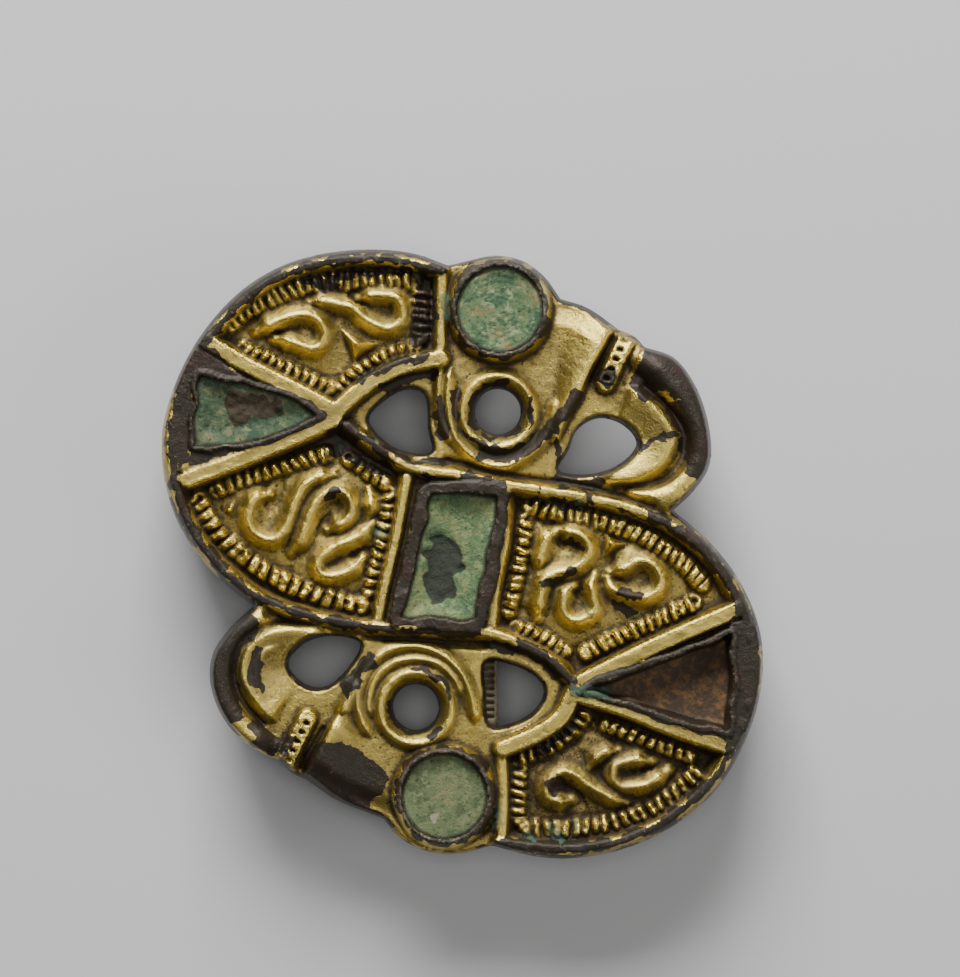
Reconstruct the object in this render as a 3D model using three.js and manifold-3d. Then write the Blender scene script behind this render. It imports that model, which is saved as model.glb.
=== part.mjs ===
// S-shaped fibula: two bird-of-prey heads on one curved body, cast in copper alloy and fire-gilt,
// with chip-carved scroll panels, cells for inlays, and a sprung pin on the back.
// It lies on its back, face up. Millimetres, +Z up, +X to the right and +Y to the top of the face.
import * as THREE from 'three';
import { mergeVertices } from 'three/addons/utils/BufferGeometryUtils.js';
import Module from 'manifold-3d';

const wasm = await Module();
wasm.setup();

// Plan size. All plan points below are set out for drawnHeight and scaled to broochHeight.
const broochHeight = 40.2;
const drawnHeight = 40.2;
const planScale = broochHeight / drawnHeight;

// How long one straight facet is on wide curves, on the heads and openings, and on the scrolls
const lobeFacet = 2.4;
const headFacet = 1.4;
const scrollFacet = 1;

// Heights of the casting above its flat back
const edgeThickness = 0.5; // upright foot of the outer wall
const wallFlare = 0.7; // how far the outer wall leans in on its way up
const groundHeight = 1.6; // floor of the carved panels
const rimHeight = 2.8;
const rimWidth = 0.55;
const rimFootWidth = 1.1;
const barHeight = 2.9;
const barWidth = 0.75;
const barFootWidth = 1;
const cellWallHeight = 3.1;
const cellWallWidth = 0.6;
const cellWallBatter = 0.1; // how far a cell wall leans in on the outside
const cellFloorHeight = 1.1;
const ridgeRoot = 0.4; // how deep a ridge is rooted below the panel floor

// Carving
const scrollHeight = 0.8;
const scrollWidth = 1.15;
const ribHeight = 0.6;
const ribWidth = 0.42;
const ribPitch = 0.6;

// Bird heads
const headHeight = 2.2;
const headFlank = 0.4; // how far a head's flanks run out below its edge
const eyeInnerRadius = 2.85;
const eyeCollarWidth = 0.75;
const eyeCollarTopWidth = 0.6;
const eyeCollarHeight = 3.3;
const eyeWellHeight = 1.4;
const ringHoleRadius = 1.5;
const ringCollarWidth = 0.9;
const ringCollarCrest = 0.45;
const ringCollarFootWidth = 1.35;
const ringCollarHeight = 2.6;
const neckRidgeHeight = 2.5;
const neckRidgeWidth = 0.9;
const neckRidgeTop = 0.3;
const beakRidgeHeight = 2.9;
const beakRidgeWidth = 1.35;
const beakRidgeTop = 0.35;
const beakEndDrop = 0.9;
const browHeight = 3.0;
const browRounding = 0.75; // how far the brow's top is drawn in from its edge
const bandHeight = 2.95;
const bandBatter = 0.12;
const pitPitch = 0.65;
const pitWidth = 0.45;
const pitDepth = 0.3;
const holeBevel = 0.5; // how much wider an opening is at the face than at the back

// Inlays left in four cells
const inlayThickness = 1.1;
const eyeInlayThickness = 1.35;
const inlayCrown = 0.2;
const inlayEdge = 0.8;
const inlayGap = 0.2;

// Sprung pin, its axle, the two lugs that carry it and the catch
const lugHeight = 4.4; // free height behind the plate, which lugs and catch span
const lugThickness = 0.9;
const lugFootWidth = 2.4;
const lugRootWidth = 4.2;
const wireDiameter = 1.0;
const axleDiameter = 0.9;
const axleGap = 0.15;
const axleOverhang = 0.35;
const coilGap = 0.35; // between the coil and its axle, the plate and the lugs
const coilTurns = 3;
const turnGap = 0.2;
const catchThickness = 0.75;
const catchLength = 4.6;
const catchLip = 1.15;
const catchLipThickness = 0.5;
const catchLipUpturn = 0.3;
const catchGap = 0.35; // between the pin and the tip of the catch's lip
const catchLedge = 0.3; // how far the ledge stands above the plate's back, beside the neck
const notchPitch = 0.46;
const notchDepth = 0.15;
const notchWidth = 0.55;
const anchorLength = 2.4;
const pinRise = 0.7; // how much nearer the plate the needle is at its point
const pinPast = 1; // how far the point reaches past the catch
const pinPointLength = 3.6;
const pinPointDiameter = 0.35;
const lugShoulder = 0.5;

// Places on the drawing
const springY = 13.5;
const pinX = -0.4;
const catchY = -6.9;

// Facets round turned and drawn forms
const turnedFacets = 20;
const wireFacets = 8;
const coilFacets = 10;

const backZ = lugHeight;
const groundZ = backZ + groundHeight;
const rootZ = groundZ - ridgeRoot;

// Plan outline: each stretch is a smooth curve, and the stretches meet at notches or corners
const outlineStretches = {
  upperLobe: [[-0.9, 18.9], [-3, 19.65], [-5.5, 19.95], [-9, 19.7], [-12, 18.8], [-14.8, 17], [-17.5, 13.8],
    [-19.3, 9.8], [-19.75, 6.8], [-19, 2.8], [-16.9, -0.7], [-13.7, -3.5]],
  lowerBeak: [[-13.7, -3.5], [-15.2, -4.9], [-16.4, -6.7], [-16.5, -8.8], [-15.4, -11.3], [-13.3, -13.1],
    [-11.9, -13.7]],
  lowerBand: [[-11.9, -13.7], [-11.2, -14.45], [-10.2, -14.9]],
  lowerBrow: [[-10.2, -14.9], [-8.3, -16.2], [-5.1, -17.5]],
  lowerEye: [[-5.1, -17.5], [-4.2, -18.6], [-2.5, -19.55], [-0.5, -19.8], [2, -19.25]],
  lowerLobe: [[2, -19.25], [4.5, -19.9], [7, -20.1], [10.5, -19.5], [14, -17.9], [17, -15.2], [19.1, -11.2],
    [19.8, -7.7], [19.5, -4.7], [18, -1.4], [16, 1], [13.9, 2.8]],
  upperBeak: [[13.9, 2.8], [15, 3.8], [16.2, 5.5], [16.4, 7.3], [15.6, 10.5], [14, 12.8], [12, 13.55]],
  upperBand: [[12, 13.55], [11.4, 14.2], [10.3, 14.7]],
  upperBrow: [[10.3, 14.7], [8.3, 16.1], [6.5, 16.7]],
  upperEye: [[6.5, 16.7], [5.4, 18.2], [4, 19.2], [2.2, 19.55], [0.4, 19.2], [-0.9, 18.9]],
};

const openings = {
  upperNeck: [[-2.5, 10.4], [-2.2, 8], [-2, 6.7], [-3.5, 6.6], [-5, 7.3], [-6.1, 8.8], [-5.1, 10],
    [-3.6, 10.75]],
  upperBeak: [[6.35, 5.5], [8, 5.15], [10.3, 5.8], [11.5, 7.2], [10.6, 8.4], [9, 8.85], [7.6, 8.1],
    [7, 6.7]],
  lowerNeck: [[1.6, -7.2], [3.4, -7.4], [5, -8.3], [5.4, -9.2], [4.7, -10.4], [3.4, -11.15],
    [1.9, -11.3], [1.6, -9.2]],
  lowerBeak: [[-11.4, -7.3], [-10.6, -6.15], [-9, -5.5], [-6.7, -5.95], [-7.6, -7.7], [-9, -8.8],
    [-10.4, -8.6]],
};

const eyes = { upper: [2.35, 15.9], lower: [-1.1, -15.9] };
const rings = { upper: [2.35, 9.25], lower: [-3.05, -10.1] };

const rims = [
  [[-1.3, 18.5], [-3.2, 19], [-5.6, 19.25], [-9, 19], [-12, 18.05], [-14.4, 16.4], [-16.9, 13.5],
    [-18.5, 9.7],
    [-18.95, 6.8], [-18.3, 3.1], [-16.3, -0.3], [-13.3, -2.85], [-10, -4.1], [-6, -4.8], [-2, -5.05],
    [1.4, -5.15],
    [4, -6], [6, -7.1], [7.3, -8.5]],
  [[2.4, -18.9], [4.6, -19.2], [7, -19.35], [10.4, -18.8], [13.6, -17.3], [16.4, -14.8], [18.4, -10.9],
    [19.05, -7.7], [18.75, -4.9], [17.4, -1.8], [15.4, 0.6], [13.2, 2.1], [10, 3.2], [6, 4], [3, 4.45],
    [0, 5.1],
    [-3, 5.55], [-5, 6.6], [-7.5, 8.3]],
];

const bars = [
  [[-16.8, 13.9], [-14, 12.25], [-11, 10.75], [-8.3, 9.3]],
  [[-18, 4.8], [-13, 6.7], [-8.3, 8.75]],
  [[-8.2, 9.3], [-7, 10.4], [-5.5, 11.45], [-3.8, 12.25], [-1.4, 12.75]],
  [[18, -3.7], [13, -5.9], [7.8, -8.45]],
  [[7.3, -9.2], [10.5, -10.1], [14, -11.5], [17.3, -12.6]],
  [[7.3, -9.1], [6.5, -10.7], [5, -11.8], [2.7, -12.8]],
];

const panelEdges = [
  [[-1.3, 18.6], [-1.35, 15.5], [-1.4, 12.9]],
  [[-3.5, 4.8], [-4.2, 1], [-4.9, -2], [-5.4, -4.6]],
  [[2.2, -5], [3.2, -1.7], [3.8, 1], [4.1, 3.9]],
  [[2.6, -18.7], [2.7, -15.8], [2.6, -12.8]],
];

const cells = {
  left: [[-17.6, 7], [-17.2, 11.6], [-12, 10.55], [-9.4, 8.95], [-12, 7.8], [-15, 7.05]],
  centre: [[-2, 4], [2.4, 3.7], [1.6, -0.9], [0.8, -4.4], [-4, -4.2], [-3, -0.5]],
  right: [[7.9, -8.95], [9.8, -8.3], [17.5, -5.3], [17.8, -8.1], [17.4, -11.6], [14, -10.7], [10.5, -9.75]],
};

// Carved scrolls: the crest line of each stroke
const scrolls = [
  [[-13.4, 14.6], [-12.2, 15.1], [-11, 15.5], [-10, 15.55], [-9.2, 15.1], [-8.95, 14.4], [-9.3, 13.6],
    [-10.2, 13.5],
    [-11.4, 13.9]],
  [[-10, 16.35], [-8.5, 16.4], [-7.2, 16], [-6.3, 15.3], [-5.2, 14.8], [-4.1, 15.1], [-3.85, 15.9],
    [-4.3, 16.7],
    [-5.4, 16.9], [-6.6, 16.7]],
  [[-8.35, 5.2], [-9.4, 5], [-10.4, 4.3], [-11, 3.2], [-11.5, 1.7], [-12.3, 0.95], [-13.4, 1.2], [-14, 2.3],
    [-13.6, 3.4], [-12.6, 3.9]],
  [[-11.2, 0.1], [-10.5, 1], [-10, 2.4], [-9.3, 3.6], [-8.4, 4.1], [-7.5, 3.8], [-7.2, 2.9], [-7.9, 1.9],
    [-8.8, 1.5]],
  [[-5.9, 2], [-7.2, 0.9], [-8.6, 0.3], [-9.4, -0.6], [-8.9, -1.45], [-7.7, -1.3], [-6.6, -0.4]],
  [[-6.3, 4.1], [-6.2, 3.1], [-6.4, 2.3]],
  [[6.2, 1.5], [7.4, 1.4], [8.3, 0.6], [8, -0.5], [7, -1.15], [5.7, -1.5], [5.15, -2.6], [5, -4.1]],
  [[9.6, -1.2], [10.8, -0.8], [12, -0.5], [12.95, -1.3], [12.9, -2.4], [11.8, -2.9], [10.4, -2.6],
    [9.6, -1.7]],
  [[8.7, -1.4], [8.55, -2.3], [8.7, -3.5], [8, -4.3], [7, -4.2], [6.6, -3.3], [7.3, -2.1]],
  [[7.2, -16.1], [6.1, -16.2], [5.5, -15.4], [6, -14.6], [7, -14.4], [8.2, -15.1], [9.4, -15.85],
    [10.8, -16.3]],
  [[13.4, -14.2], [12.2, -15.1], [10.8, -15.25], [9.95, -14.6], [10.3, -13.8], [11.4, -13.5],
    [12.4, -13.6]],
  [[8.3, -14.1], [8.9, -13.3], [10.3, -12.9]],
];

// Small chip-carved pyramids between the scrolls
const pyramids = [
  [[-8, 14.8], [-6, 13.8], [-6.9, 12.7]],
  [[9.3, 1.4], [10.9, 0.6], [9.1, -0.7]],
  [[-15.7, 2.9], [-14.9, 3.4], [-14.9, 2.2]],
];

// Border rows of small ribs: the middle line of each row and the length of its ribs
const ribRows = [
  { line: [[-15.5, 14.7], [-14.2, 15.9], [-12.5, 16.8], [-10.5, 17.5], [-8, 17.8], [-5.5, 17.9],
    [-3.3, 17.8]], length: 1.35 },
  { line: [[-2.55, 17.1], [-2.5, 14.3]], length: 1.2 },
  { line: [[-2.6, 13.55], [-4.2, 13.2], [-5.8, 12.5], [-7.2, 11.5]], length: 1.1 },
  { line: [[-14, 13.5], [-12, 12.5], [-10.2, 11.6], [-8.6, 10.9]], length: 1.1 },
  { line: [[-16.2, 4.1], [-14, 4.8], [-12, 5.4], [-10, 6], [-8.9, 6.3]], length: 1 },
  { line: [[-7.4, 6.2], [-6, 5.2], [-5, 4.6]], length: 1 },
  { line: [[-4.6, 4], [-4.9, 1.8], [-5.5, -0.6], [-6, -2]], length: 0.9 },
  { line: [[-15.7, 1.2], [-14.6, 0.1], [-13, -1], [-11.2, -2], [-9, -2.8], [-6.6, -3.3]], length: 1.3 },
  { line: [[5.6, 2.6], [8, 2.4], [10.5, 1.8], [12.6, 0.9], [14.3, -0.3], [15.8, -1.8]], length: 1.25 },
  { line: [[4.9, 1.8], [4.5, 0.2], [4, -1.8], [3.5, -3.6]], length: 1 },
  { line: [[15, -3.4], [13.3, -4.4], [11.4, -5.2], [9.4, -6], [8.3, -6.5]], length: 1.2 },
  { line: [[3.9, -5], [5.4, -5.6], [6.8, -6.6]], length: 0.9 },
  { line: [[3.7, -13.3], [5.3, -12.7], [6.8, -11.8], [7.9, -10.7]], length: 1.25 },
  { line: [[9, -11.1], [11, -11.9], [13, -12.6], [14.8, -13.3]], length: 1.1 },
  { line: [[15.3, -14.3], [14, -15.7], [12.4, -16.7], [10.4, -17.4], [8, -17.9], [5.5, -18],
    [4.4, -18]], length: 1.3 },
  { line: [[3.65, -14.3], [3.65, -17.1]], length: 1.1 },
];

// The raised mass of each bird's head and neck, which the ridges and brows stand on
const headMasses = [
  [[-0.9, 13.2], [-1.2, 10], [-0.5, 6.9], [1.6, 5.7], [4.4, 5.7], [6, 7.6], [7.6, 9.5], [9.6, 9.7],
    [11.9, 8.5],
    [12.2, 6.9], [10.7, 5.2], [12.6, 4.3], [14.6, 4.8], [15.5, 6.8], [15, 9.6], [13.4, 12.2], [11.6, 13.1],
    [10, 14.2], [8, 15.5], [6, 16], [4.5, 13], [2, 12.4]],
  [[0.6, -13], [0.9, -10.5], [0.4, -7.6], [-1.5, -5.7], [-4.6, -5.8], [-6.5, -7.5], [-7.9, -9.3],
    [-10.2, -9.6],
    [-12.1, -8.3], [-12, -6.8], [-10.9, -5.4], [-12.8, -4.8], [-14.6, -5.5], [-15.7, -7.5], [-15.2, -9.9],
    [-13.4, -12.2], [-11.5, -13.3], [-10, -14.3], [-8, -15.5], [-5.7, -16.4], [-4.6, -14.3], [-3, -12.8],
    [-1, -12.2]],
];

const neckRidges = [
  [[-1.25, 12.3], [-1.3, 9.8], [-1.2, 8], [-0.5, 6.8], [0.7, 6]],
  [[-0.45, 12.1], [-0.85, 10.3], [-0.7, 8.5], [0.1, 7.2], [1.4, 6.2], [3, 5.8], [4.6, 6.3], [5.7, 7.5],
    [6.3, 9.3], [6.6, 10.6]],
  [[-4.3, -12.2], [-5.7, -10.9], [-6.1, -9.3], [-5.6, -7.7], [-4.4, -6.7], [-3, -6.3], [-1.4, -6.6],
    [-0.2, -7.4],
    [0.6, -8.9], [0.8, -10.5], [0.6, -12]],
];

const beakRidges = [
  [[11.2, 10.5], [12.5, 9.4], [13.4, 8.2], [13.5, 7], [12.7, 5.8], [11.2, 4.9], [9.4, 4.6]],
  [[12.6, 11.9], [14.1, 10], [14.9, 8], [14.8, 6.2], [13.7, 4.8], [12.4, 4.1]],
  [[-11.6, -10.4], [-12.8, -9.5], [-13.3, -8.2], [-12.9, -6.7], [-12, -5.8], [-10.6, -5.2], [-8.4, -4.9]],
  [[-12.6, -12.1], [-14.3, -10.7], [-15, -9], [-14.9, -7.4], [-14.1, -5.9], [-12.9, -4.9]],
];

const brows = [
  [[6.2, 16.3], [8.2, 15.8], [9.9, 14.6], [8.9, 11.4], [7.3, 10.3], [6.2, 11.4], [6.3, 13.2], [6, 14.8]],
  [[-5.6, -17], [-8, -16], [-9.8, -14.9], [-9.6, -13], [-8.1, -12.2], [-6.2, -13.3], [-5.2, -14.5],
    [-5.2, -15.8]],
];

const bands = [
  [[10.5, 14.2], [11.5, 13.5], [10.4, 10.8], [9.3, 11.1]],
  [[-11, -14.1], [-12, -13.3], [-10.4, -10.3], [-9.3, -11]],
];

const point = ([x, y]) => new THREE.Vector2(x * planScale, y * planScale);

// Points on a smooth curve through the given plan points, about one step apart
function smoothLine(points, step, closed = false) {
  const knots = points.map((p) => new THREE.Vector3(p[0] * planScale, p[1] * planScale, 0));
  const curve = new THREE.CatmullRomCurve3(knots, closed, 'centripetal');
  const count = Math.max(2, Math.round(curve.getLength() / step));
  const line = curve.getSpacedPoints(count).map((p) => new THREE.Vector2(p.x, p.y));
  if (closed) line.pop();
  return line;
}

function joinedOutline() {
  return Object.values(outlineStretches).flatMap((stretch) => smoothLine(stretch, lobeFacet).slice(0, -1));
}

// Unit vectors square to a line, pointing to its left
function sideways(line, closed = false) {
  const last = line.length - 1;
  return line.map((p, i) => {
    const before = closed ? line[(i + last) % line.length] : line[Math.max(i - 1, 0)];
    const after = closed ? line[(i + 1) % line.length] : line[Math.min(i + 1, last)];
    const along = after.clone().sub(before).normalize();
    return new THREE.Vector2(-along.y, along.x);
  });
}

// A closed plan line moved to its left by a distance
function inset(line, distance) {
  const left = sideways(line, true);
  return line.map((p, i) => p.clone().addScaledVector(left[i], distance));
}

// A closed skin over rings of equal point counts, with flat caps on the first and last ring
function loft(rings) {
  const count = rings[0].length;
  const positions = rings.flatMap((ring) => ring.flatMap((p) => [p.x, p.y, p.z]));
  const index = [];
  for (let r = 0; r + 1 < rings.length; r += 1) {
    for (let i = 0; i < count; i += 1) {
      const a = r * count + i;
      const b = r * count + (i + 1) % count;
      index.push(a, b, b + count, a, b + count, a + count);
    }
  }
  const capAt = (ring, base, flip) => {
    THREE.ShapeUtils.triangulateShape(flattened(ring), []).forEach(([a, b, c]) => {
      index.push(base + a, base + (flip ? c : b), base + (flip ? b : c));
    });
  };
  capAt(rings[0], 0, true);
  capAt(rings.at(-1), (rings.length - 1) * count, false);
  const geometry = new THREE.BufferGeometry();
  geometry.setAttribute('position', new THREE.Float32BufferAttribute(positions, 3));
  geometry.setIndex(index);
  return geometry;
}

// A ring's points in its own plane, running counter-clockwise
function flattened(ring) {
  const centre = ring.reduce((sum, p) => sum.add(p), new THREE.Vector3()).divideScalar(ring.length);
  const normal = new THREE.Vector3();
  ring.forEach((p, i) => {
    const a = p.clone().sub(centre);
    normal.add(a.cross(ring[(i + 1) % ring.length].clone().sub(centre)));
  });
  normal.normalize();
  const helper = Math.abs(normal.z) > 0.7 ? new THREE.Vector3(1, 0, 0) : new THREE.Vector3(0, 0, 1);
  const across = helper.sub(normal.clone().multiplyScalar(helper.dot(normal))).normalize();
  const up = normal.clone().cross(across);
  return ring.map((p) => new THREE.Vector2(p.dot(across), p.dot(up)));
}

function solidOf(geometry) {
  const bare = geometry.clone();
  bare.deleteAttribute('normal');
  bare.deleteAttribute('uv');
  const welded = mergeVertices(bare, 1e-4);
  const triangles = [];
  for (let i = 0; i < welded.index.count; i += 3) {
    const [a, b, c] = welded.index.array.slice(i, i + 3);
    if (a !== b && b !== c && c !== a) triangles.push(a, b, c);
  }
  const mesh = new wasm.Mesh({
    numProp: 3,
    vertProperties: Float32Array.from(welded.attributes.position.array),
    triVerts: Uint32Array.from(triangles),
  });
  return new wasm.Manifold(mesh);
}

function geometryOf(solid) {
  const { vertProperties, triVerts } = solid.getMesh();
  const geometry = new THREE.BufferGeometry();
  geometry.setAttribute('position', new THREE.BufferAttribute(Float32Array.from(vertProperties), 3));
  geometry.setIndex(new THREE.BufferAttribute(Uint32Array.from(triVerts), 1));
  geometry.computeVertexNormals();
  return geometry;
}

const lifted = (line, z) => line.map((p) => new THREE.Vector3(p.x, p.y, z));

// A solid through a closed plan line at several heights: pairs of height and distance moved inwards
function stack(line, levels) {
  return solidOf(loft(levels.map(([z, distance]) => lifted(inset(line, distance), z))));
}

// A ridge along a plan line: a roof with a flat top, its ends lower by taper
function ridge(line, { width, top, height, taper = 0 }) {
  const left = sideways(line);
  const last = line.length - 1;
  const rings = line.map((p, i) => {
    const crest = groundZ - groundHeight + height - (i === 0 || i === last ? taper : 0);
    const at = (across, z) => new THREE.Vector3(p.x + left[i].x * across, p.y + left[i].y * across, z);
    return [at(width / 2, rootZ), at(top / 2, crest), at(-top / 2, crest), at(-width / 2, rootZ)];
  });
  return solidOf(loft(rings));
}

// One rib: a small roof across the row, its ends chipped to a slope
function rib(centre, across, length) {
  const along = new THREE.Vector2(-across.y, across.x);
  const ring = (halfLength, halfWidth, z) => [[-1, -1], [1, -1], [1, 1],
    [-1, 1]].map(([u, v]) => new THREE.Vector3(
    centre.x + across.x * u * halfLength + along.x * v * halfWidth,
    centre.y + across.y * u * halfLength + along.y * v * halfWidth,
    z,
  ));
  const half = length / 2;
  return solidOf(loft([
    ring(half, ribWidth / 2, rootZ),
    ring(half - ribWidth / 2, 0, groundZ + ribHeight),
  ]));
}

function ribRow({ line, length }) {
  const middle = smoothLine(line, ribPitch);
  const left = sideways(middle);
  return middle.map((centre, i) => rib(centre, left[i], length * planScale));
}

// A three-sided pyramid on a triangle
function pyramid(corners) {
  const base = corners.map(point);
  if (THREE.ShapeUtils.isClockWise(base)) base.reverse();
  const centre = base.reduce((sum, p) => sum.clone().add(p)).divideScalar(base.length);
  const tip = base.map(() => centre.clone());
  return solidOf(loft([lifted(base, rootZ), lifted(tip, groundZ + scrollHeight)]));
}

// A turned piece about an upright axis through a plan point, from profile points of radius and height
function turned(centre, profile) {
  const geometry = new THREE.LatheGeometry(profile.map(([r, z]) => new THREE.Vector2(r, z)), turnedFacets);
  geometry.rotateX(Math.PI / 2);
  const at = point(centre);
  geometry.translate(at.x, at.y, 0);
  return solidOf(geometry);
}

// A closed plan line through the given points, running counter-clockwise
function closedLine(points) {
  const line = smoothLine(points, headFacet, true);
  return THREE.ShapeUtils.isClockWise(line) ? line.reverse() : line;
}

// A closed plan line with straight sides, running counter-clockwise
function corneredLine(points) {
  const line = points.map(point);
  return THREE.ShapeUtils.isClockWise(line) ? line.reverse() : line;
}

const join = (solids) => solids.reduce((sum, solid) => sum.add(solid));

// A round wire of the given radius through a path of points; the last ring may be finer
function wire(path, radiusAt) {
  const rings = path.map((p, i) => {
    const along = path[Math.min(i + 1, path.length - 1)].clone().sub(path[Math.max(i - 1, 0)]).normalize();
    const across = new THREE.Vector3(1, 0, 0);
    across.addScaledVector(along, -across.dot(along)).normalize();
    const up = along.clone().cross(across);
    return Array.from({ length: wireFacets }, (_, k) => {
      const turn = (k / wireFacets) * Math.PI * 2;
      return p.clone()
        .addScaledVector(across, radiusAt(i) * Math.cos(turn))
        .addScaledVector(up, radiusAt(i) * Math.sin(turn));
    });
  });
  return loft(rings);
}

// The plate: outer wall leaning in, a flat back and the floor of the panels
function plate() {
  const outline = joinedOutline();
  const lean = wallFlare * (groundHeight - edgeThickness) / (rimHeight - edgeThickness);
  return stack(outline, [[backZ, 0], [backZ + edgeThickness, 0], [groundZ, lean]]);
}

function raisedWork() {
  const rimRidge = { width: rimFootWidth, top: rimWidth, height: rimHeight };
  const barRidge = { width: barFootWidth, top: barWidth, height: barHeight };
  const scrollRidge = { width: scrollWidth, top: 0, height: groundHeight + scrollHeight,
    taper: scrollHeight };
  const neckRidge = { width: neckRidgeWidth, top: neckRidgeTop, height: neckRidgeHeight };
  const beakRidge = { width: beakRidgeWidth, top: beakRidgeTop, height: beakRidgeHeight,
    taper: beakEndDrop };
  const along = (lines, step, shape) => lines.map((line) => ridge(smoothLine(line, step), shape));
  return [
    ...along(rims, lobeFacet, rimRidge),
    ...along(bars, lobeFacet, barRidge),
    ...along(panelEdges, lobeFacet, rimRidge),
    ...along(scrolls, scrollFacet, scrollRidge),
    ...along(neckRidges, headFacet, neckRidge),
    ...along(beakRidges, headFacet, beakRidge),
    ...pyramids.map(pyramid),
    ...ribRows.flatMap(ribRow),
  ];
}

function collars() {
  const eye = [
    [eyeInnerRadius, rootZ],
    [eyeInnerRadius + eyeCollarWidth, rootZ],
    [eyeInnerRadius + eyeCollarTopWidth, backZ + eyeCollarHeight],
    [eyeInnerRadius, backZ + eyeCollarHeight],
    [eyeInnerRadius, rootZ],
  ];
  const ring = [
    [ringHoleRadius, rootZ],
    [ringHoleRadius + ringCollarFootWidth, rootZ],
    [ringHoleRadius + ringCollarWidth, backZ + ringCollarHeight],
    [ringHoleRadius + ringCollarCrest, backZ + ringCollarHeight],
    [ringHoleRadius, rootZ],
  ];
  return [
    ...Object.values(eyes).map((centre) => turned(centre, eye)),
    ...Object.values(rings).map((centre) => turned(centre, ring)),
  ];
}

function headsWithBrows() {
  const swell = browHeight - groundHeight;
  return [
    ...headMasses.map((line) => stack(closedLine(line), [[rootZ, -headFlank], [backZ + headHeight, 0]])),
    ...brows.map((line) => stack(closedLine(line), [
      [rootZ, 0], [groundZ + swell / 3, 0], [groundZ + swell * 0.85, browRounding / 2],
      [groundZ + swell, browRounding],
    ])),
    ...bands.map((line) => stack(corneredLine(line), [[rootZ, 0], [backZ + bandHeight, bandBatter]])),
  ];
}

// Cell walls stand round the cells; the wells are cut afterwards
function cellWalls() {
  return Object.values(cells).map((line) => (
    stack(corneredLine(line), [[rootZ, -cellWallWidth],
    [backZ + cellWallHeight, cellWallBatter - cellWallWidth]])
  ));
}

function wells() {
  const skyZ = backZ + eyeCollarHeight + 1;
  const eyeWell = [[0, backZ + eyeWellHeight], [eyeInnerRadius, backZ + eyeWellHeight],
    [eyeInnerRadius, skyZ], [0, skyZ]];
  const ringHole = [
    [0, backZ - 1],
    [ringHoleRadius, backZ - 1],
    [ringHoleRadius, backZ + edgeThickness],
    [ringHoleRadius + holeBevel, skyZ],
    [0, skyZ],
  ];
  return [
    ...Object.values(cells).map((line) => stack(corneredLine(line), [[backZ + cellFloorHeight, 0],
    [skyZ, 0]])),
    ...Object.values(openings).map((line) => stack(closedLine(line), [
      [backZ - 1, 0], [backZ + edgeThickness, 0], [skyZ, -holeBevel],
    ])),
    ...Object.values(eyes).map((centre) => turned(centre, eyeWell)),
    ...Object.values(rings).map((centre) => turned(centre, ringHole)),
  ];
}

// Small pits in a row down the middle of each notched band
function bandPits() {
  return bands.flatMap((corners) => {
    const [a, b, c, d] = corners.map(point);
    const start = a.clone().lerp(b, 0.5);
    const end = c.clone().lerp(d, 0.5);
    const count = Math.floor(start.distanceTo(end) / pitPitch);
    return Array.from({ length: count }, (_, i) => {
      const centre = start.clone().lerp(end, (i + 0.5) / count);
      const pit = new THREE.ConeGeometry(pitWidth / 2, pitDepth * 2, 4);
      pit.rotateX(-Math.PI / 2);
      pit.translate(centre.x, centre.y, backZ + bandHeight);
      return solidOf(pit);
    });
  });
}

// Spring and catch positions, from the wire and its gaps
const coilRadius = axleDiameter / 2 + coilGap + wireDiameter / 2;
const coilZ = coilRadius + wireDiameter / 2 + coilGap;
const coilY = springY * planScale;
const needleX = pinX * planScale;
const turnPitch = wireDiameter + turnGap;
const halfTurn = 0.5; // the coil starts above its axle and ends below it
const coilLength = turnPitch * (coilTurns + halfTurn);
const lugRightX = needleX + wireDiameter / 2 + coilGap;
const lugLeftX = needleX - coilLength - wireDiameter / 2 - coilGap - lugThickness;
const catchTopY = catchY * planScale;
const catchTipX = needleX + wireDiameter / 2 + catchGap;

// A lug: a flat foot on the table, straight flanks up to the plate, and a hole for the axle
function lug(x) {
  const shape = new THREE.Shape([
    new THREE.Vector2(-lugFootWidth / 2, 0),
    new THREE.Vector2(lugFootWidth / 2, 0),
    new THREE.Vector2(lugFootWidth / 2 + lugShoulder, lugShoulder),
    new THREE.Vector2(lugRootWidth / 2, lugHeight),
    new THREE.Vector2(lugRootWidth / 2, lugHeight + edgeThickness),
    new THREE.Vector2(-lugRootWidth / 2, lugHeight + edgeThickness),
    new THREE.Vector2(-lugRootWidth / 2, lugHeight),
    new THREE.Vector2(-lugFootWidth / 2 - lugShoulder, lugShoulder),
  ]);
  shape.holes.push(new THREE.Path().absarc(0, coilZ, axleDiameter / 2 + axleGap, 0, Math.PI * 2, true));
  const geometry = new THREE.ExtrudeGeometry(shape, { depth: lugThickness, bevelEnabled: false,
    curveSegments: 6 });
  const axes = [new THREE.Vector3(0, 1, 0), new THREE.Vector3(0, 0, 1), new THREE.Vector3(1, 0, 0)];
  geometry.applyMatrix4(new THREE.Matrix4().makeBasis(...axes));
  geometry.translate(x, coilY, 0);
  return solidOf(geometry);
}

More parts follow.
